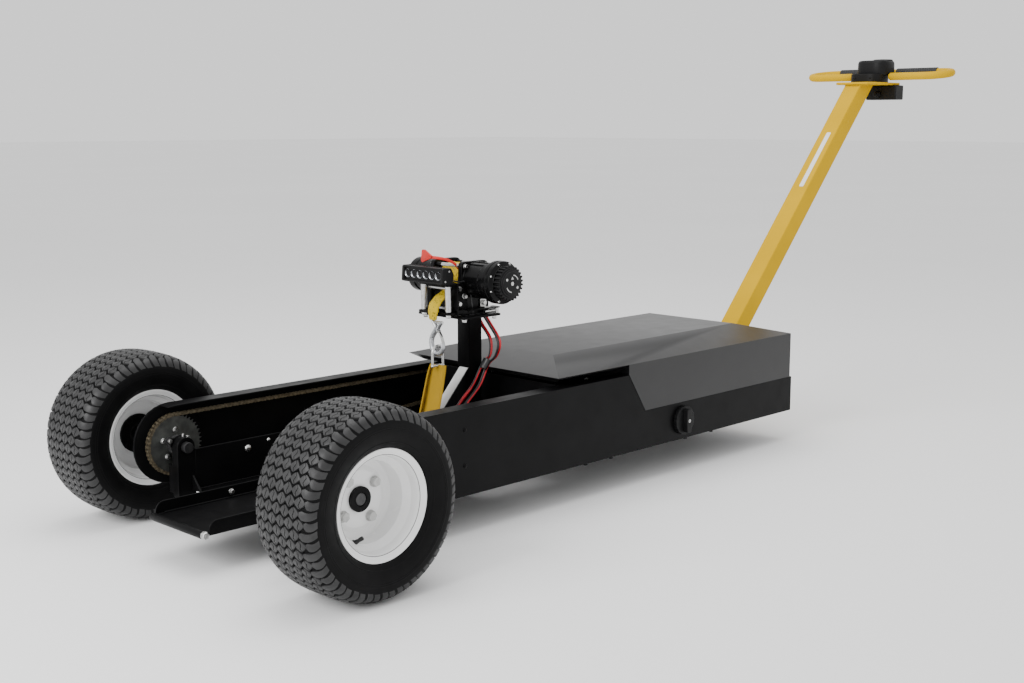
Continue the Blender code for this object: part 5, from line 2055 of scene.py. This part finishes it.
@dataclass
class Tiller(Assembly):
    """Square tiller tube with its mount, blank label and handle plate."""

    slope: float = math.radians(47.4)
    axis_foot: tuple[float, float] = (1.893, 0.309)
    tube_half: float = 0.031
    weld_low: float = 0.219
    weld_high: float = 0.28

    def build(self) -> None:
        """Place the tube, its mount and its label."""
        self.refine("tiller", YELLOW_PAINT, bevel=0.0035, segments=4)
        self.refine("tiller_mount", POWDER, bevel=0.0015)
        low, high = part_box("tiller_mount")
        bolts = Shape()
        for y in (low.y + 0.014, high.y - 0.014):
            for z in (low.z + 0.018, high.z - 0.018):
                bolts.hex_bolt((high.x - AXLE_X, y, z), (1, 0, 0), 0.017, 0.0085, 0.0, 0.012)
        self.place("tiller_mount_bolts", bolts, ZINC, bevel=0.0005)
        run = Vector((math.cos(self.slope), 0.0, math.sin(self.slope)))
        out = Vector((-run.z, 0.0, run.x))
        foot = Vector((self.axis_foot[0], 0.0, self.axis_foot[1]))
        at = Matrix.Translation(foot + out * (self.tube_half + 0.0001))
        at = at @ Matrix((run, (0.0, 1.0, 0.0), out)).transposed().to_4x4()
        outline = rounded([(0.56, -0.0125, 0.004), (0.8, -0.0125, 0.004),
                           (0.8, 0.0035, 0.004), (0.56, 0.0035, 0.004)], 4)
        label = Shape().prism(outline, "z", 0.0, 0.0006, at)
        self.place("tiller_label", label, LABEL)
        foot_weld = Shape()
        x = high.x - AXLE_X + 0.001
        for y in (-self.tube_half, self.tube_half):
            line = [Vector((x, y, self.weld_low)), Vector((x, y, self.weld_high))]
            foot_weld.sweep([line[0].lerp(line[1], k / 24) for k in range(25)],
                            lambda s: (0.003 + 0.0006 * math.sin(75.0 * s),) * 2, 8)
        self.place("tiller_weld", foot_weld, YELLOW_PAINT, smooth=70)


@dataclass
class Handle(Assembly):
    """Loop handle with ribbed grips, a domed control head and a gauge box."""

    front_x: float = 2.68
    rear_x: float = 2.8
    half: float = 0.277
    radius: float = 0.013
    height: float = 1.11
    rise: float = 0.016
    grip_radius: float = 0.0162
    grip_from: float = 0.035
    grip_to: float = 0.19
    grip_ribs: int = 18
    bar_end: float = 0.072
    base: tuple[float, float, float, float] = (2.6185, 2.7235, -0.0595, 0.0595)
    cover: tuple[float, float, float, float] = (2.6385, 2.7445, -0.0715, 0.0475)

    def loop(self) -> Shape:
        """The bent tube, open at its front, with closed ends.

        Returns:
            The tube's mesh.
        """
        turn = (self.rear_x - self.front_x) / 2.0
        middle = self.front_x + turn
        reach = self.half - self.radius - turn
        half = [(self.front_x, self.bar_end), (self.front_x, self.bar_end + 0.004)]
        half += [(self.front_x, reach)] + arc((middle, reach), turn, 180, 0, 22)[1:-1]
        half += [(self.rear_x, reach)]
        outline = half + [(x, -y) for x, y in reversed(half)]
        lean = self.rise / (self.rear_x - self.front_x)
        path = [Vector((x, y, self.height + (x - self.front_x) * lean)) for x, y in outline]

        def size(share: float) -> tuple[float, float]:
            """Rounded ends, full radius between."""
            small = 0.8 if share in (0.0, 1.0) else 1.0
            return self.radius * small, self.radius * small

        return Shape().sweep(path, size, sides=28, up=(0.0, 0.0, 1.0))

    def grip(self, side: Side) -> Shape:
        """A ribbed rubber sleeve on the rear bar.

        Args:
            side: its side.

        Returns:
            The sleeve's mesh.
        """
        profile = []
        step = (self.grip_to - self.grip_from) / self.grip_ribs
        for k in range(self.grip_ribs):
            start = self.grip_from + k * step
            for share, low in ((0.05, 0.0012), (0.22, 0.0), (0.78, 0.0), (0.95, 0.0012)):
                profile.append((self.grip_radius - low, start + share * step))
        profile.append((self.radius + 0.0004, self.grip_to))
        profile.append((self.radius + 0.0004, self.grip_from))
        at = facing((self.rear_x, 0.0, self.height + self.rise), (0.0, side.value, 0.0))
        return Shape().lathe(profile, at, 40, closed=True)

    def head(self) -> None:
        """The control head: base shell, domed cover, round dial and screws."""
        low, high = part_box("control_head")
        x0 = low.x - AXLE_X
        shell = Shape()
        x_low, x_high, y_low, y_high = self.base
        base = rounded([(x_low, y_low, 0.046), (x_high, y_low, 0.046), (x_high, y_high, 0.046),
                        (x_low, y_high, 0.046)], 8)
        shell.prism(base, "z", low.z, low.z + 0.0290)
        x_low, x_high, y_low, y_high = self.cover
        cover = rounded([(x_low, y_low, 0.048), (x_high, y_low, 0.048), (x_high, y_high, 0.048),
                         (x_low, y_high, 0.048)], 8)
        middle = ((x_low + x_high) / 2.0, (y_low + y_high) / 2.0)
        rings = []
        for z, grow in ((low.z + 0.024, 0.93), (low.z + 0.0275, 0.985), (low.z + 0.03, 1.0),
                        (high.z - 0.015, 0.985), (high.z - 0.009, 0.96),
                        (high.z - 0.005, 0.9), (high.z - 0.0038, 0.8)):
            rings.append([shell.bm.verts.new((middle[0] + (x - middle[0]) * grow,
                                              middle[1] + (y - middle[1]) * grow, z))
                          for x, y in cover])
        shell.skin(rings)
        self.place("control_head_shell", shell, MOULDED, replaces=("control_head",),
                   smooth=46, bevel=0.0012)
        dial = Shape()
        at = facing((middle[0] + 0.01, middle[1] - 0.02, high.z - 0.006), (0, 0, 1))
        dial.lathe(rounded([(0.0, -0.002), (0.033, -0.002), (0.033, 0.0046, 0.0015),
                            (0.03, 0.0058, 0.001), (0.0, 0.0058)], 3), at, 48)
        self.place("control_head_dial", dial, MOULDED, smooth=40)
        screws = Shape()
        for y in (-0.03, 0.03):
            screws.cap_screw((x0 + 0.0012, y, low.z + 0.0145), (-1, 0, 0), 0.0034, 0.001)
        self.place("control_head_screws", screws, MOULDED)

    def gauge(self) -> None:
        """The box below the handle plate with its round plug."""
        self.refine("gauge_box", MOULDED, bevel=0.0035, segments=3)
        low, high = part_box("gauge_box")
        x = low.x - AXLE_X
        plug = Shape()
        at = facing((x, (low.y + high.y) / 2.0 + 0.012, (low.z + high.z) / 2.0 - 0.006), (-1, 0, 0))
        plug.lathe([(0.0, 0.0), (0.0125, 0.0), (0.0125, 0.006), (0.0105, 0.007), (0.0105, 0.012),
                    (0.006, 0.0135), (0.005, 0.018), (0.0, 0.018)], at, 28)
        screen = rounded([(low.y + 0.05, low.z + 0.01, 0.003), (high.y - 0.008, low.z + 0.01, 0.003),
                          (high.y - 0.008, high.z - 0.01, 0.003),
                          (low.y + 0.05, high.z - 0.01, 0.003)], 3)
        rear = high.x - AXLE_X
        plug.prism(screen, "x", rear - 0.0004, rear + 0.0010)
        self.place("gauge_plug", plug, MOULDED)

    def build(self) -> None:
        """Place the handle's pieces."""
        self.place("handle_tube", self.loop(), YELLOW_PAINT,
                   replaces=("handle_loop",), smooth=50)
        for side in Side:
            self.place(side.word + "_grip_sleeve", self.grip(side), GRIP_RUBBER,
                       replaces=(side.word + "_grip",), smooth=50, slot=Slot.PLASTIC)
        self.head()
        self.gauge()


# ---------------------------------------------------------------- studio

@dataclass
class Studio:
    """Floor, soft lights, pale surroundings and the camera."""

    floor_half: float = 60.0
    camera_place: tuple[float, float, float] = (-1.6963, -2.5257, 0.955)
    camera_yaw: float = 45.56
    camera_pitch: float = 9.12
    lens: float = 48.12
    sensor: float = 36.0
    surroundings: float = 1.15

    def floor(self) -> None:
        """A wide pale floor."""
        mesh = bpy.data.meshes.new("studio_floor")
        half = self.floor_half
        corners = [(-half, -half, 0.0), (half, -half, 0.0), (half, half, 0.0), (-half, half, 0.0)]
        mesh.from_pydata(corners, [], [(0, 1, 2, 3)])
        plane = bpy.data.objects.new("studio_floor", mesh)
        bpy.context.scene.collection.objects.link(plane)
        mesh.materials.append(FLOOR.material())

    def light(self, name: str, place: Point, aim: Point, size: float, power: float) -> None:
        """A square soft light aimed at a point.

        Args:
            name: the lamp's name.
            place: where it is.
            aim: where it points.
            size: side of the square.
            power: watts.
        """
        lamp = bpy.data.lights.new(name, "AREA")
        lamp.shape = "SQUARE"
        lamp.size = size
        lamp.energy = power
        holder = bpy.data.objects.new(name, lamp)
        bpy.context.scene.collection.objects.link(holder)
        holder.location = place
        holder.rotation_euler = (Vector(aim) - Vector(place)).to_track_quat("-Z", "Y").to_euler()

    def world(self) -> None:
        """Even pale surroundings."""
        sky = bpy.data.worlds.new("studio_surroundings")
        sky.use_nodes = True
        back = sky.node_tree.nodes["Background"]
        back.inputs["Color"].default_value = (1.0, 1.0, 1.0, 1.0)
        back.inputs["Strength"].default_value = self.surroundings
        bpy.context.scene.world = sky

    def camera(self) -> None:
        """The camera at its viewing angle."""
        lens = bpy.data.cameras.new("camera")
        lens.lens = self.lens
        lens.sensor_width = self.sensor
        eye = bpy.data.objects.new("camera", lens)
        bpy.context.scene.collection.objects.link(eye)
        x, y, z = self.camera_place
        eye.location = (x + AXLE_X, y, z)
        eye.rotation_euler = (math.radians(90.0 - self.camera_pitch), 0.0,
                              math.radians(-self.camera_yaw))
        bpy.context.scene.camera = eye

    def build(self) -> None:
        """Set up the studio."""
        self.floor()
        self.world()
        self.light("overhead", (-0.3, 0.2, 3.6), (0.0, 0.0, 0.3), 3.0, 70.0)
        self.light("front_left", (-4.2, -0.2, 2.2), (-0.4, 0.0, 0.3), 2.0, 120.0)
        self.camera()


FLOOR = Finish("studio_floor_finish", Slot.WHITE, (0.9, 0.9, 0.9), (0.92, 0.92, 0.92), 0.7, drift_size=3.0,
               specular=0.2)


def main() -> None:
    """Build every sub-assembly in order."""
    logging.basicConfig(level=logging.INFO, format="%(message)s")
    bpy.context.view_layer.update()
    Studio().build()
    parts: list[Assembly] = []
    for side in Side:
        parts += [TurfTyre(side), WheelRim(side), LiveAxle(side), RollerChain(side)]
    parts += [Chassis(), BatteryBay(), Hood(), SideKnob(), Caster(), WinchPost(), Winch(), Fairlead(),
              LightBar(), PullRope(), Hook(), Sling(), Wiring(), Tiller(), Handle()]
    for part in parts:
        LOG.info("%s", type(part).__name__)
        part.build()


if __name__ == "__main__":
    main()
